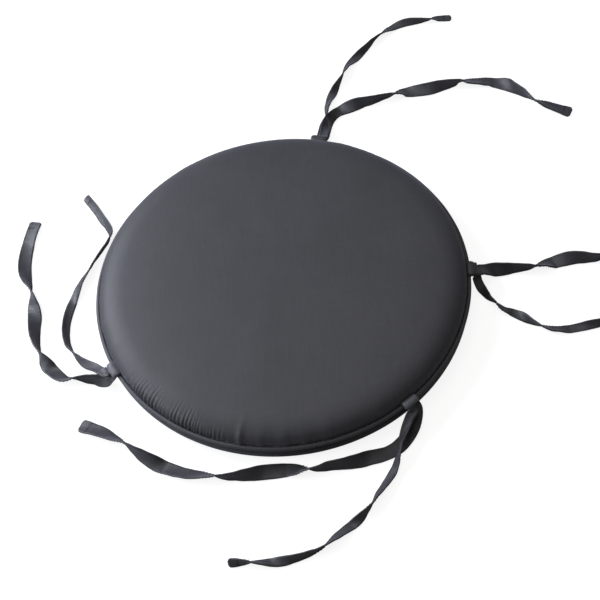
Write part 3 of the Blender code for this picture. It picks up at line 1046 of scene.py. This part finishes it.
class Filling:
    """The hidden pieces inside the covers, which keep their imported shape."""

    finishes = {
        "foam_core": FOAM,
        "wadding_top": WADDING,
        "wadding_bottom": WADDING,
        "piping_cord": FILLER,
    }

    def dress(self) -> None:
        """Give each hidden piece its own finish."""
        made: dict[str, bpy.types.Material] = {}
        for name, finish in self.finishes.items():
            if finish.name not in made:
                made[finish.name] = finish.material()
            item = frame["nodes"][name]
            item.data.materials.clear()
            item.data.materials.append(made[finish.name])
            log.info("%s: dressed in %s", name, finish.name)


# The straps ------------------------------------------------------------------------------


@dataclass(frozen=True)
class SewnRoot:
    """Where a pair of straps is sewn in, as an angle round the rim, and its joint's axis."""

    place: str
    angle: float
    bend_from: float = 0.1922
    bend_half: float = 0.008
    bend_run: float = 0.010

    def outward(self) -> Vector:
        """Return the direction straight out of the rim."""
        return Vector((math.cos(self.angle), math.sin(self.angle), 0.0))

    def aside(self) -> Vector:
        """Return the anticlockwise direction along the rim."""
        return Vector((-math.sin(self.angle), math.cos(self.angle), 0.0))

    def joint(self) -> dict:
        """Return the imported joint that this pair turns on."""
        found = [joint for joint in frame["joints"] if joint["child"] == self.body()]
        return found[0]

    def body(self) -> str:
        """Return the name of the pair's body."""
        return "ties_" + self.place

    def bending_zone(self) -> tuple[Vector, Vector]:
        """Return the points between which the straps bend as they lift."""
        axis = Vector(self.joint()["axis"])
        away = Vector((-axis.y, axis.x, 0.0)).normalized()
        if away.dot(self.outward()) < 0:
            away = -away
        pivot = Vector(self.joint()["pos_m"])
        nearest = min((self.outward() * self.bend_from + self.aside() * half).dot(away)
                      for half in (-self.bend_half, self.bend_half))
        start = away * nearest
        stop = away * (pivot.dot(away) + self.bend_run)
        start.z = stop.z = pivot.z
        return start, stop


@dataclass(frozen=True)
class Route:
    """A strap's way: its layer and side at the fold, its width, and its points in metres.

    Each point is x, y and the height of the middle of the strap, None where it lies on
    the surface, then the turn of the strap about its own length in degrees.
    """

    name: str
    root: str
    layer: int
    side: int
    width: float
    knots: tuple[tuple[float, float, float | None, float], ...]


@dataclass(frozen=True)
class FoldForm:
    """What a sewn fold and the straps that leave it share."""

    width: float = 0.0165
    slope: float = math.radians(50)
    straight: float = 0.0015
    reach: float = 0.0028


FOLD = FoldForm()


@dataclass(frozen=True)
class StrapPath:
    """A strap's middle line, its directions at each point, and the length run so far."""

    line: np.ndarray
    along: np.ndarray
    across: np.ndarray
    up: np.ndarray
    lengths: np.ndarray

    @classmethod
    def follow(cls, line: np.ndarray) -> "StrapPath":
        """Work out the directions and lengths along a line of x, y, z and turn."""
        along = np.gradient(line[:, :3], axis=0)
        along /= np.linalg.norm(along, axis=1, keepdims=True)
        level = np.cross((0.0, 0.0, 1.0), along)
        level /= np.linalg.norm(level, axis=1, keepdims=True)
        square = np.cross(along, level)
        cosine = np.cos(line[:, 3])[:, None]
        sine = np.sin(line[:, 3])[:, None]
        across = level * cosine + square * sine
        return cls(line, along, across, np.cross(along, across), run_lengths(line[:, :3]))

    @property
    def total(self) -> float:
        """Return the strap's whole length."""
        return self.lengths[-1]


@dataclass
class StrapMaker:
    """Makes flat hemmed straps that twist along their routes."""

    sizes: PadSizes
    thickness: float = 0.0018
    middle_thickness: float = 0.0010
    gap: float = 0.0003
    sample: float = 0.0016
    smooth_steps: int = 24
    pitch: float = 0.0032
    clearance: float = 0.0005
    leaving_run: float = 0.005
    hem: float = 0.0095
    hem_thickness: float = 1.32
    corner: float = 0.0030
    tip_thickness: float = 0.45
    sway: float = 0.00016
    cup: float = 0.00022
    stitch: float = 0.0021
    stitch_gap: float = 0.0011
    stitch_inset: float = 0.0013
    bar_rows: tuple[float, ...] = (0.0, 0.0008)
    bar_stitch: float = 0.0013
    bar_pitch: float = 0.00155
    bar_margins: tuple[float, float] = (0.0016, 0.0012)
    raised_edge: float = 0.0020
    thread: float = 0.00021

    def resting_height(self, turn: float, width: float) -> float:
        """Return how high the middle of a strap lies above the surface, for its turn."""
        upright = abs(math.sin(turn)) * width / 2
        return self.gap + upright + abs(math.cos(turn)) * self.thickness / 2

    def leaving_points(self, route: Route, root: SewnRoot) -> list[tuple[Vector, float]]:
        """Return the points and turns where a strap leaves its fold."""
        lean = math.pi / 2 - FOLD.slope
        fold_thickness = self.thickness + self.pitch
        reach = FOLD.reach + fold_thickness / 2 + route.layer * self.pitch / 2
        aside = root.aside() * (route.side * (FOLD.width - route.width) / 2)
        start = FOLD.straight + self.clearance
        points = []
        for run in (start, start + self.leaving_run):
            radius = self.sizes.piping_line + reach * math.cos(lean) + run * math.cos(FOLD.slope)
            height = self.sizes.seam_height + reach * math.sin(lean) - run * math.sin(FOLD.slope)
            points.append((root.outward() * radius + aside + Vector((0.0, 0.0, height)), 0.0))
        return points

    def line(self, route: Route, root: SewnRoot) -> np.ndarray:
        """Return the strap's middle line as rows of x, y, z and turn, evenly spread."""
        knots = [np.array((*point, turn)) for point, turn in self.leaving_points(route, root)]
        for x, y, height, degrees in route.knots:
            turn = math.radians(degrees)
            lift = self.resting_height(turn, route.width)
            if height is not None:
                lift = max(lift, height)
            knots.append(np.array((x, y, lift, turn)))
        ends = [2 * knots[0] - knots[1], *knots, 2 * knots[-1] - knots[-2]]
        dense = []
        for four in zip(ends, ends[1:], ends[2:], ends[3:]):
            dense += [catmull(*four, step / self.smooth_steps) for step in range(self.smooth_steps)]
        dense = np.array([*dense, knots[-1]])
        lengths = run_lengths(dense[:, :3])
        count = round(lengths[-1] / self.sample)
        wanted = np.linspace(0.0, lengths[-1], count + 1)
        line = np.stack([np.interp(wanted, lengths, dense[:, axis]) for axis in range(4)], axis=1)
        for index, turn in enumerate(line[:, 3]):
            line[index, 2] = max(line[index, 2], self.resting_height(turn, route.width))
        return line

    def section(self, width: float, thick: float) -> list[tuple[float, float]]:
        """Return a strap's cross-section: rounded edges and a slightly dished middle."""
        half = width / 2
        edge = self.thickness / 2 * thick
        middle = self.middle_thickness / 2 * thick
        rise = [(half, 0.0), (half - 0.35 * MM, edge * 0.75), (half - 1.0 * MM, edge),
                (half - 2.2 * MM, middle)]
        over = [(-x, y) for x, y in rise] + [(0.0, middle * 0.9)] + rise[::-1]
        return over + [(x, -y) for x, y in over[-2:0:-1]]

    def build(self, route: Route, root: SewnRoot, fold: bpy.types.Object,
              cloth: bpy.types.Material, thread: bpy.types.Material) -> None:
        """Args:
            route: The strap's way.
            root: Where it is sewn in.
            fold: The sewn fold that it comes from; not used.
            cloth: The strap cloth's material.
            thread: The sewing thread's material.
        """
        path = StrapPath.follow(self.line(route, root))
        strap = self.strap_mesh(route, path)
        strap.data.materials.append(cloth)
        stitching = self.stitching_mesh(route, path)
        stitching.data.materials.append(thread)
        start, stop = root.bending_zone()
        for piece in (strap, stitching):
            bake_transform(piece)
        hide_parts(route.name)
        log.info("%s: %.0f mm long, %d faces", strap.name, path.total / MM, len(strap.data.polygons))

    def strap_mesh(self, route: Route, path: StrapPath) -> bpy.types.Object:
        """Sweep the section along the route, thicker at the hem and round at the tip."""
        random = np.random.default_rng(sum(ord(letter) for letter in route.name))
        shifts = random.uniform(0.0, math.tau, 4)
        half = route.width / 2
        rows = []
        for index, far in enumerate(path.lengths):
            from_tip = path.total - far
            hem = float(smoothstep(-self.hem - MM, -self.hem + 0.4 * MM, np.array(-from_tip)))
            thick = 1.0 + (self.hem_thickness - 1.0) * hem
            narrow = 1.0
            if from_tip < self.corner:
                bow = math.sqrt(max(0.0, 1 - (1 - from_tip / self.corner) ** 2))
                narrow = 1 - self.corner / half * (1 - bow)
                thick *= self.tip_thickness + (1 - self.tip_thickness) * bow
            sway = self.sway * (math.sin(far * 310 + shifts[0]) + 0.7 * math.sin(far * 540 + shifts[1]))
            cup = self.cup * math.sin(far * 95 + shifts[2])
            for x, y in self.section(route.width, thick):
                share = x / half
                lift = y + sway * share + cup * (share * share - 0.4)
                rows.append(path.line[index, :3] + path.across[index] * x * narrow + path.up[index] * lift)
        size = len(self.section(route.width, 1.0))
        strap = mesh_object(route.name + "_strap", np.array(rows), tube_faces(len(path.lengths), size))
        self.lay_threads(strap, route.width, path.lengths)
        return strap

    def lay_threads(self, strap: bpy.types.Object, width: float, lengths: np.ndarray) -> None:
        """Give a strap a UV map in metres: along its length and round its section."""
        section = np.array(self.section(width, 1.0))
        size = len(section)
        girth = run_lengths(np.vstack([section, section[:1]]))
        layer = strap.data.uv_layers.new(name="threads")
        for face in strap.data.polygons:
            for loop in face.loop_indices:
                vertex = strap.data.loops[loop].vertex_index
                ring, side = divmod(vertex, size)
                wraps = len(face.vertices) == 4 and side == 0 and any(
                    other % size == size - 1 for other in face.vertices)
                layer.data[loop].uv = (lengths[ring], girth[size] if wraps else girth[side])

    def stitch_places(self, width: float, total: float) -> list[tuple[float, float, bool, int, float]]:
        """List a strap's stitches: rows along its edges, and a double bar across its hem.

        A wide strap has a row along each edge, and a narrow one has a single row.

        Args:
            width: The strap's width.
            total: Its length.

        Returns:
            Each stitch's length from the fold, its distance from the middle, whether it
            runs across, its face, and its own length.
        """
        edges = (1, -1) if width == WIDE_STRAP else (1,)
        places = []
        for face in (1, -1):
            far = self.stitch
            while far < total - self.hem:
                places += [(far, edge * (width / 2 - self.stitch_inset), False, face, self.stitch)
                           for edge in edges]
                far += self.stitch + self.stitch_gap
            for row in self.bar_rows:
                aside = -width / 2 + self.bar_margins[0]
                while aside < width / 2 - self.bar_margins[1]:
                    places.append((total - self.hem + row, aside, True, face, self.bar_stitch))
                    aside += self.bar_pitch
        return places

    def stitching_mesh(self, route: Route, path: StrapPath) -> bpy.types.Object:
        """Sew the stitches on both faces of a strap."""
        one = self.one_stitch()
        sewn = bmesh.new()
        for far, aside, turned, face, span in self.stitch_places(route.width, path.total):
            place = [np.interp(far, path.lengths, path.line[:, axis]) for axis in range(3)]
            index = int(np.clip(np.searchsorted(path.lengths, far), 0, len(path.lengths) - 1))
            run, side, rise = path.along[index], path.across[index], path.up[index] * face
            thick = self.hem_thickness if path.total - far < self.hem else 1.0
            near_edge = abs(aside) > route.width / 2 - self.raised_edge
            half = (self.thickness if near_edge else self.middle_thickness) / 2 * thick
            middle = np.array(place) + side * aside + rise * (half + self.thread * 0.35)
            first, second = (side, -run) if turned else (run, side)
            matrix = Matrix([(first[axis] * span, second[axis], rise[axis], middle[axis])
                             for axis in range(3)]).to_4x4()
            copy = one.copy()
            copy.transform(matrix)
            sewn.from_mesh(copy)
            bpy.data.meshes.remove(copy)
        bmesh.ops.recalc_face_normals(sewn, faces=sewn.faces)
        mesh = bpy.data.meshes.new(route.name + "_stitching")
        sewn.to_mesh(mesh)
        sewn.free()
        mesh.shade_smooth()
        item = bpy.data.objects.new(mesh.name, mesh)
        bpy.context.scene.collection.objects.link(item)
        return item

    def one_stitch(self) -> bpy.types.Mesh:
        """Model one stitch of unit length: a short thread with pulled-in ends."""
        if "one_stitch" in bpy.data.meshes:
            return bpy.data.meshes["one_stitch"]
        bpy.ops.object.select_all(action="DESELECT")
        bpy.ops.mesh.primitive_cylinder_add(vertices=6, radius=self.thread, depth=1.0, end_fill_type="NGON",
                                            rotation=(0.0, math.pi / 2, 0.0))
        item = bpy.context.active_object
        bpy.ops.object.transform_apply(location=True, rotation=True, scale=True)
        bpy.ops.object.mode_set(mode="EDIT")
        for cut in (-0.25, 0.25):
            bpy.ops.mesh.select_all(action="SELECT")
            bpy.ops.mesh.bisect(plane_co=(cut, 0.0, 0.0), plane_no=(1.0, 0.0, 0.0))
        bpy.ops.object.mode_set(mode="OBJECT")
        for vertex in item.data.vertices:
            if abs(vertex.co.x) > 0.4:
                vertex.co.y *= 0.5
                vertex.co.z = vertex.co.z * 0.5 - self.thread
        mesh = item.data
        mesh.name = "one_stitch"
        mesh.use_fake_user = True
        bpy.data.objects.remove(item, do_unlink=True)
        return mesh


@dataclass
class SewnFold:
    """The middle of a tie strip, folded and caught in the seam, which bends over the piping."""

    sizes: PadSizes
    root: SewnRoot
    layer: float = 0.0008
    full: float = 0.0050
    tail: float = 0.004
    tail_rise: float = 0.00105
    drawn_in: float = 0.16
    rounding: float = 0.0005
    steps: int = 10
    columns: int = 12

    def outline(self) -> list[tuple[float, float]]:
        """Return the fold's outline as radius and height, both from the piping's middle."""
        first = math.pi - math.asin(min(1.0, self.tail_rise / FOLD.reach))
        last = math.pi / 2 - FOLD.slope
        start = self.sizes.seam_radius - self.tail - self.sizes.piping_line
        low = [(start, self.tail_rise)]
        high = [(start, self.tail_rise + self.layer)]
        for step in range(self.steps + 1):
            share = step / self.steps
            angle = first + (last - first) * share
            over = FOLD.reach + self.layer + (self.full - self.layer) * share
            low.append((FOLD.reach * math.cos(angle), FOLD.reach * math.sin(angle)))
            high.append((over * math.cos(angle), over * math.sin(angle)))
        for side in (low, high):
            side.append((side[-1][0] + math.cos(FOLD.slope) * FOLD.straight,
                         side[-1][1] - math.sin(FOLD.slope) * FOLD.straight))
        return low + high[::-1]

    def build(self, cloth: bpy.types.Material) -> bpy.types.Object:
        """Make the fold and dress it.

        Args:
            cloth: The fold cloth's material.

        Returns:
            The finished fold.
        """
        outline = self.outline()
        points = []
        for column in range(self.columns + 1):
            share = column / self.columns * 2 - 1
            puff = 1 - self.drawn_in * abs(share) ** 5
            for away, rise in outline:
                radius = self.sizes.piping_line + away * puff
                spot = self.root.outward() * radius + self.root.aside() * (share * FOLD.width / 2)
                points.append((spot.x, spot.y, self.sizes.seam_height + rise * puff))
        faces = tube_faces(self.columns + 1, len(outline), flipped=True)
        item = mesh_object("fold_" + self.root.place, np.array(points), faces)
        form = bmesh.new()
        form.from_mesh(item.data)
        bmesh.ops.recalc_face_normals(form, faces=form.faces)
        form.to_mesh(item.data)
        form.free()
        rounded = item.modifiers.new("rounded", "BEVEL")
        rounded.width = self.rounding
        rounded.segments = 3
        rounded.angle_limit = math.radians(50)
        apply_modifiers(item)
        item.data.shade_smooth()
        self.lay_threads(item)
        item.data.materials.append(cloth)
        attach(item, "pad")
        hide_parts("tie_fold_" + self.root.place)
        log.info("%s: %d faces", item.name, len(item.data.polygons))
        return item

    def lay_threads(self, item: bpy.types.Object) -> None:
        """Give the fold a UV map in metres: out from the seam and along the rim."""
        layer = item.data.uv_layers.new(name="threads")
        out, aside = self.root.outward(), self.root.aside()
        for corner in item.data.loops:
            place = item.data.vertices[corner.vertex_index].co
            layer.data[corner.index].uv = (place.dot(out) - 0.6 * place.z, place.dot(aside))


ROOTS = {
    "back": SewnRoot("back", math.radians(71.0)),
    "right": SewnRoot("right", math.radians(-6.0)),
    "front": SewnRoot("front", math.radians(-57.0)),
    "left": SewnRoot("left", math.radians(-157.0)),
}

WIDE_STRAP = 0.0145
NARROW_STRAP = 0.0095

ROUTES = (
    Route("tie_back_a", "back", 1, -1, NARROW_STRAP, (
        (0.0685, 0.192, 0.0160, 0), (0.0715, 0.2075, 0.0110, 30), (0.076, 0.225, 0.0085, 95),
        (0.078, 0.238, 0.0072, 125), (0.083, 0.254, None, 160), (0.089, 0.264, None, 210),
        (0.099, 0.280, None, 270), (0.105, 0.291, None, 295), (0.112, 0.303, None, 335),
        (0.123, 0.313, None, 385), (0.136, 0.324, None, 430), (0.148, 0.336, None, 465),
        (0.157, 0.343, None, 490), (0.169, 0.351, None, 530), (0.184, 0.355, None, 575),
        (0.202, 0.354, None, 625), (0.216, 0.354, None, 670), (0.226, 0.356, None, 715),
        (0.2415, 0.354, None, 720),
    )),
    Route("tie_back_b", "back", -1, 1, WIDE_STRAP, (
        (0.0665, 0.191, 0.0115, 0), (0.070, 0.205, 0.0046, 0), (0.0745, 0.219, None, 0),
        (0.082, 0.229, None, -5), (0.092, 0.2355, None, 0), (0.103, 0.237, None, 30),
        (0.118, 0.238, None, 72), (0.129, 0.239, None, 90), (0.145, 0.242, None, 108),
        (0.156, 0.244, None, 130), (0.168, 0.248, None, 175), (0.185, 0.246, None, 205),
        (0.197, 0.245, None, 222), (0.208, 0.245, None, 250), (0.225, 0.246, None, 280),
        (0.237, 0.248, None, 325), (0.256, 0.246, None, 345), (0.268, 0.243, None, 358),
        (0.280, 0.2345, None, 395), (0.287, 0.226, None, 430), (0.297, 0.215, None, 455),
        (0.307, 0.203, None, 490), (0.316, 0.198, None, 515), (0.342, 0.182, None, 540),
    )),
    Route("tie_right_a", "right", 1, 1, WIDE_STRAP, (
        (0.2005, -0.0175, 0.0165, 0), (0.207, -0.015, 0.0110, 8), (0.215, -0.013, 0.0065, 30),
        (0.225, -0.0145, None, 60), (0.240, -0.016, None, 88), (0.250, -0.017, None, 103),
        (0.258, -0.017, None, 125), (0.267, -0.014, None, 155), (0.276, -0.012, None, 180),
        (0.286, -0.012, None, 205), (0.298, -0.0135, None, 235), (0.313, -0.017, None, 262),
        (0.323, -0.018, None, 280), (0.345, -0.015, None, 330), (0.368, -0.004, None, 360),
        (0.386, 0.019, None, 360), (0.393, 0.045, None, 385), (0.388, 0.071, None, 360),
        (0.376, 0.093, None, 360),
    )),
    Route("tie_right_b", "right", -1, -1, NARROW_STRAP, (
        (0.1945, -0.029, 0.0140, 0), (0.1965, -0.0345, 0.0105, 20), (0.1995, -0.0395, 0.0075, 55),
        (0.203, -0.0445, None, 85), (0.209, -0.052, None, 115), (0.214, -0.059, None, 145),
        (0.222, -0.064, None, 170), (0.229, -0.070, None, 205), (0.237, -0.079, None, 255),
        (0.246, -0.086, None, 300), (0.254, -0.090, None, 325), (0.263, -0.092, None, 340),
        (0.273, -0.093, None, 360), (0.283, -0.093, None, 370), (0.293, -0.093, None, 395),
        (0.303, -0.093, None, 415), (0.322, -0.092, None, 450), (0.346, -0.092, None, 500),
        (0.370, -0.102, None, 540), (0.388, -0.120, None, 540), (0.395, -0.145, None, 560),
        (0.388, -0.170, None, 540),
    )),
    Route("tie_front_a", "front", -1, 1, WIDE_STRAP, (
        (0.1062, -0.1685, 0.0131, 0), (0.1025, -0.1765, 0.0080, 0), (0.0965, -0.1835, 0.0035, 0),
        (0.090, -0.1895, 0.0018, 0), (0.083, -0.194, None, 0), (0.075, -0.197, None, 0),
        (0.065, -0.199, None, -8), (0.057, -0.200, None, -18), (0.048, -0.2025, None, -40),
        (0.034, -0.204, None, -65), (0.019, -0.204, None, -80), (0.008, -0.205, None, -95),
        (-0.001, -0.204, None, -118), (-0.009, -0.202, None, -150), (-0.020, -0.199, None, -178),
        (-0.031, -0.199, None, -195), (-0.044, -0.199, None, -210), (-0.055, -0.200, None, -235),
        (-0.067, -0.200, None, -258), (-0.079, -0.199, None, -275), (-0.093, -0.195, None, -305),
        (-0.102, -0.192, None, -322), (-0.112, -0.189, None, -333), (-0.123, -0.184, None, -343),
        (-0.135, -0.177, None, -355), (-0.148, -0.169, None, -400), (-0.159, -0.160, None, -428),
        (-0.171, -0.148, None, -465), (-0.183, -0.138, None, -500), (-0.194, -0.129, None, -520),
        (-0.214, -0.117, None, -540),
    )),
    Route("tie_front_b", "front", 1, -1, NARROW_STRAP, (
        (0.1015, -0.1705, 0.0181, 0), (0.097, -0.1765, 0.0140, 10), (0.0925, -0.184, 0.0113, 35),
        (0.0893, -0.191, 0.0099, 60), (0.0875, -0.1965, 0.0096, 68), (0.084, -0.204, 0.0070, 62),
        (0.081, -0.2105, None, 45), (0.077, -0.2175, None, 30), (0.0725, -0.2235, None, 30),
        (0.066, -0.231, None, 38), (0.058, -0.240, None, 57), (0.053, -0.247, None, 75),
        (0.046, -0.254, None, 105), (0.039, -0.2595, None, 140), (0.031, -0.264, None, 180),
        (0.021, -0.270, None, 202), (0.013, -0.275, None, 222), (0.004, -0.281, None, 250),
        (-0.006, -0.285, None, 272), (-0.019, -0.288, None, 292), (-0.033, -0.289, None, 325),
        (-0.047, -0.288, None, 378), (-0.056, -0.287, None, 402), (-0.063, -0.286, None, 428),
        (-0.071, -0.285, None, 460), (-0.0845, -0.283, None, 500),
    )),
    Route("tie_left_a", "left", 1, -1, NARROW_STRAP, (
        (-0.1885, -0.069, 0.0180, 0), (-0.1955, -0.061, 0.0135, -5), (-0.203, -0.054, 0.0090, -30),
        (-0.209, -0.0475, 0.0060, -50), (-0.2135, -0.0415, None, -70), (-0.2175, -0.036, None, -95),
        (-0.223, -0.025, None, -122), (-0.225, -0.012, None, -135), (-0.2245, 0.001, None, -145),
        (-0.222, 0.014, None, -155), (-0.218, 0.0275, None, -175), (-0.214, 0.037, None, -200),
        (-0.208, 0.051, None, -222), (-0.199, 0.065, None, -240), (-0.193, 0.075, None, -248),
        (-0.185, 0.087, None, -252), (-0.1775, 0.098, None, -255), (-0.1735, 0.109, None, -240),
        (-0.1765, 0.120, None, -225), (-0.182, 0.131, None, -215), (-0.1885, 0.1455, None, -215),
        (-0.199, 0.1655, None, -215),
    )),
    Route("tie_left_b", "left", -1, 1, WIDE_STRAP, (
        (-0.1845, -0.077, 0.0130, -35), (-0.1915, -0.0745, 0.0090, -60), (-0.198, -0.0715, 0.0080, -75),
        (-0.2065, -0.069, None, -88), (-0.2145, -0.067, None, -108), (-0.220, -0.066, None, -122),
        (-0.2275, -0.0645, None, -140), (-0.234, -0.0585, None, -155), (-0.241, -0.0495, None, -170),
        (-0.2465, -0.0415, None, -215), (-0.252, -0.0315, None, -265), (-0.256, -0.014, None, -300),
        (-0.257, 0.002, None, -320), (-0.257, 0.016, None, -345), (-0.258, 0.031, None, -390),
        (-0.260, 0.046, None, -440), (-0.265, 0.065, None, -495), (-0.267, 0.082, None, -520),
        (-0.266, 0.098, None, -530), (-0.263, 0.115, None, -545), (-0.259, 0.129, None, -550),
        (-0.2545, 0.1425, None, -545),
    )),
)


@dataclass
class TieSet:
    """The four pairs of straps with the folds that they come from."""

    sizes: PadSizes
    # The folds listed here are dressed in the lighter fold cloth, whose colour is painted light on their
    # upper faces.
    painted_light_folds: tuple[str, ...] = ("front", "left")

    def build(self) -> None:
        """Make every fold and every strap."""
        cloth = STRAP_CLOTH.material()
        thread = STRAP_THREAD.material()
        maker = StrapMaker(self.sizes)
        # pale is the lighter cloth with painted light, for the folds listed above.
        pale = PAINTED_LIGHT_FOLD_CLOTH.material()
        folds = {}
        for place, root in ROOTS.items():
            folds[place] = SewnFold(self.sizes, root).build(pale if place in self.painted_light_folds else cloth)
        for route in ROUTES:
            maker.build(route, ROOTS[route.root], folds[route.root], cloth, thread)


# The studio ------------------------------------------------------------------------------


@dataclass(frozen=True)
class SoftLight:
    """One soft studio light: where it stands, what it looks at, and its size and power."""

    name: str
    place: tuple[float, float, float]
    target: tuple[float, float, float]
    size: float
    power: float
    colour: tuple[float, float, float] = (1.0, 1.0, 1.0)

    def build(self) -> None:
        """Add the light."""
        data = bpy.data.lights.new(self.name, "AREA")
        data.shape = "SQUARE"
        data.size = self.size
        data.energy = self.power
        data.color = self.colour
        item = bpy.data.objects.new(self.name, data)
        bpy.context.scene.collection.objects.link(item)
        item.location = self.place
        gaze = Vector(self.target) - Vector(self.place)
        item.rotation_euler = gaze.to_track_quat("-Z", "Y").to_euler()


@dataclass(frozen=True)
class Studio:
    """The floor, the lights and the camera."""

    target: tuple[float, float, float] = (0.0154, -0.0230, 0.020)
    distance: float = 1.3
    elevation: float = math.radians(55.7)
    roll: float = math.radians(8.7)
    lens: float = 77.94
    sensor: float = 36.0
    floor_size: float = 8.0
    ambient: float = 0.12
    lights: tuple[SoftLight, ...] = (
        SoftLight("key_left_back", (-0.92, 0.66, 0.82), (0.0, 0.0, 0.0), 0.62, 17.5, (0.84, 0.88, 1.0)),
        SoftLight("window_left", (-1.15, -0.15, 0.55), (0.0, 0.0, 0.0), 0.6, 6.0, (0.88, 0.91, 1.0)),
        SoftLight("top_fill", (-0.1, 0.3, 2.0), (0.0, 0.0, 0.0), 1.6, 8.0, (1.0, 0.98, 0.96)),
    )

    def build(self) -> None:
        """Set up the floor, the world, the lights and the camera."""
        self.lay_floor()
        self.light_world()
        for light in self.lights:
            light.build()
        self.place_camera()
        bpy.context.scene.view_settings.view_transform = "Standard"
        log.info("studio: %d lights", len(self.lights))

    def lay_floor(self) -> None:
        """Lay the plain pale floor."""
        bpy.ops.object.select_all(action="DESELECT")
        bpy.ops.mesh.primitive_plane_add(size=self.floor_size, location=(0.0, 0.0, 0.0))
        floor = bpy.context.active_object
        floor.name = "studio_floor"
        floor.data.materials.append(PaleFloor().material())

    def light_world(self) -> None:
        """Surround the set with a dim, even, slightly warm white."""
        world = bpy.data.worlds.new("studio_world")
        world.use_nodes = True
        back = world.node_tree.nodes["Background"]
        back.inputs["Color"].default_value = (1.0, 0.96, 0.92, 1.0)
        back.inputs["Strength"].default_value = self.ambient
        bpy.context.scene.world = world

    def place_camera(self) -> None:
        """Place the camera, rolled a little, and make it the scene's own."""
        back = Vector((0.0, -math.cos(self.elevation), math.sin(self.elevation)))
        right = Vector((1.0, 0.0, 0.0))
        up = back.cross(right)
        own_right = math.cos(self.roll) * right - math.sin(self.roll) * up
        own_up = math.sin(self.roll) * right + math.cos(self.roll) * up
        turn = Matrix((own_right, own_up, back)).transposed().to_4x4()
        data = bpy.data.cameras.new("studio_camera")
        data.lens = self.lens
        data.sensor_width = self.sensor
        camera = bpy.data.objects.new("studio_camera", data)
        camera.matrix_world = Matrix.Translation(Vector(self.target) + back * self.distance) @ turn
        bpy.context.scene.collection.objects.link(camera)
        bpy.context.scene.camera = camera


def main() -> None:
    """Build every piece in order."""
    logging.basicConfig(level=logging.INFO, format="%(name)s %(message)s")
    Studio().build()
    sizes = PadSizes.from_frame()
    TieSet(sizes).build()
    form = PadForm(sizes)
    form.build()
    cover = COVER_CLOTH.material()
    net = RingNet(sizes)
    TopCover(form, net).build(cover)
    BottomCover(form, net).build(cover)
    Piping(sizes).build(PAINTED_HIGHLIGHT_PIPING_CLOTH.material())
    Filling().dress()


if __name__ == "__main__":
    main()
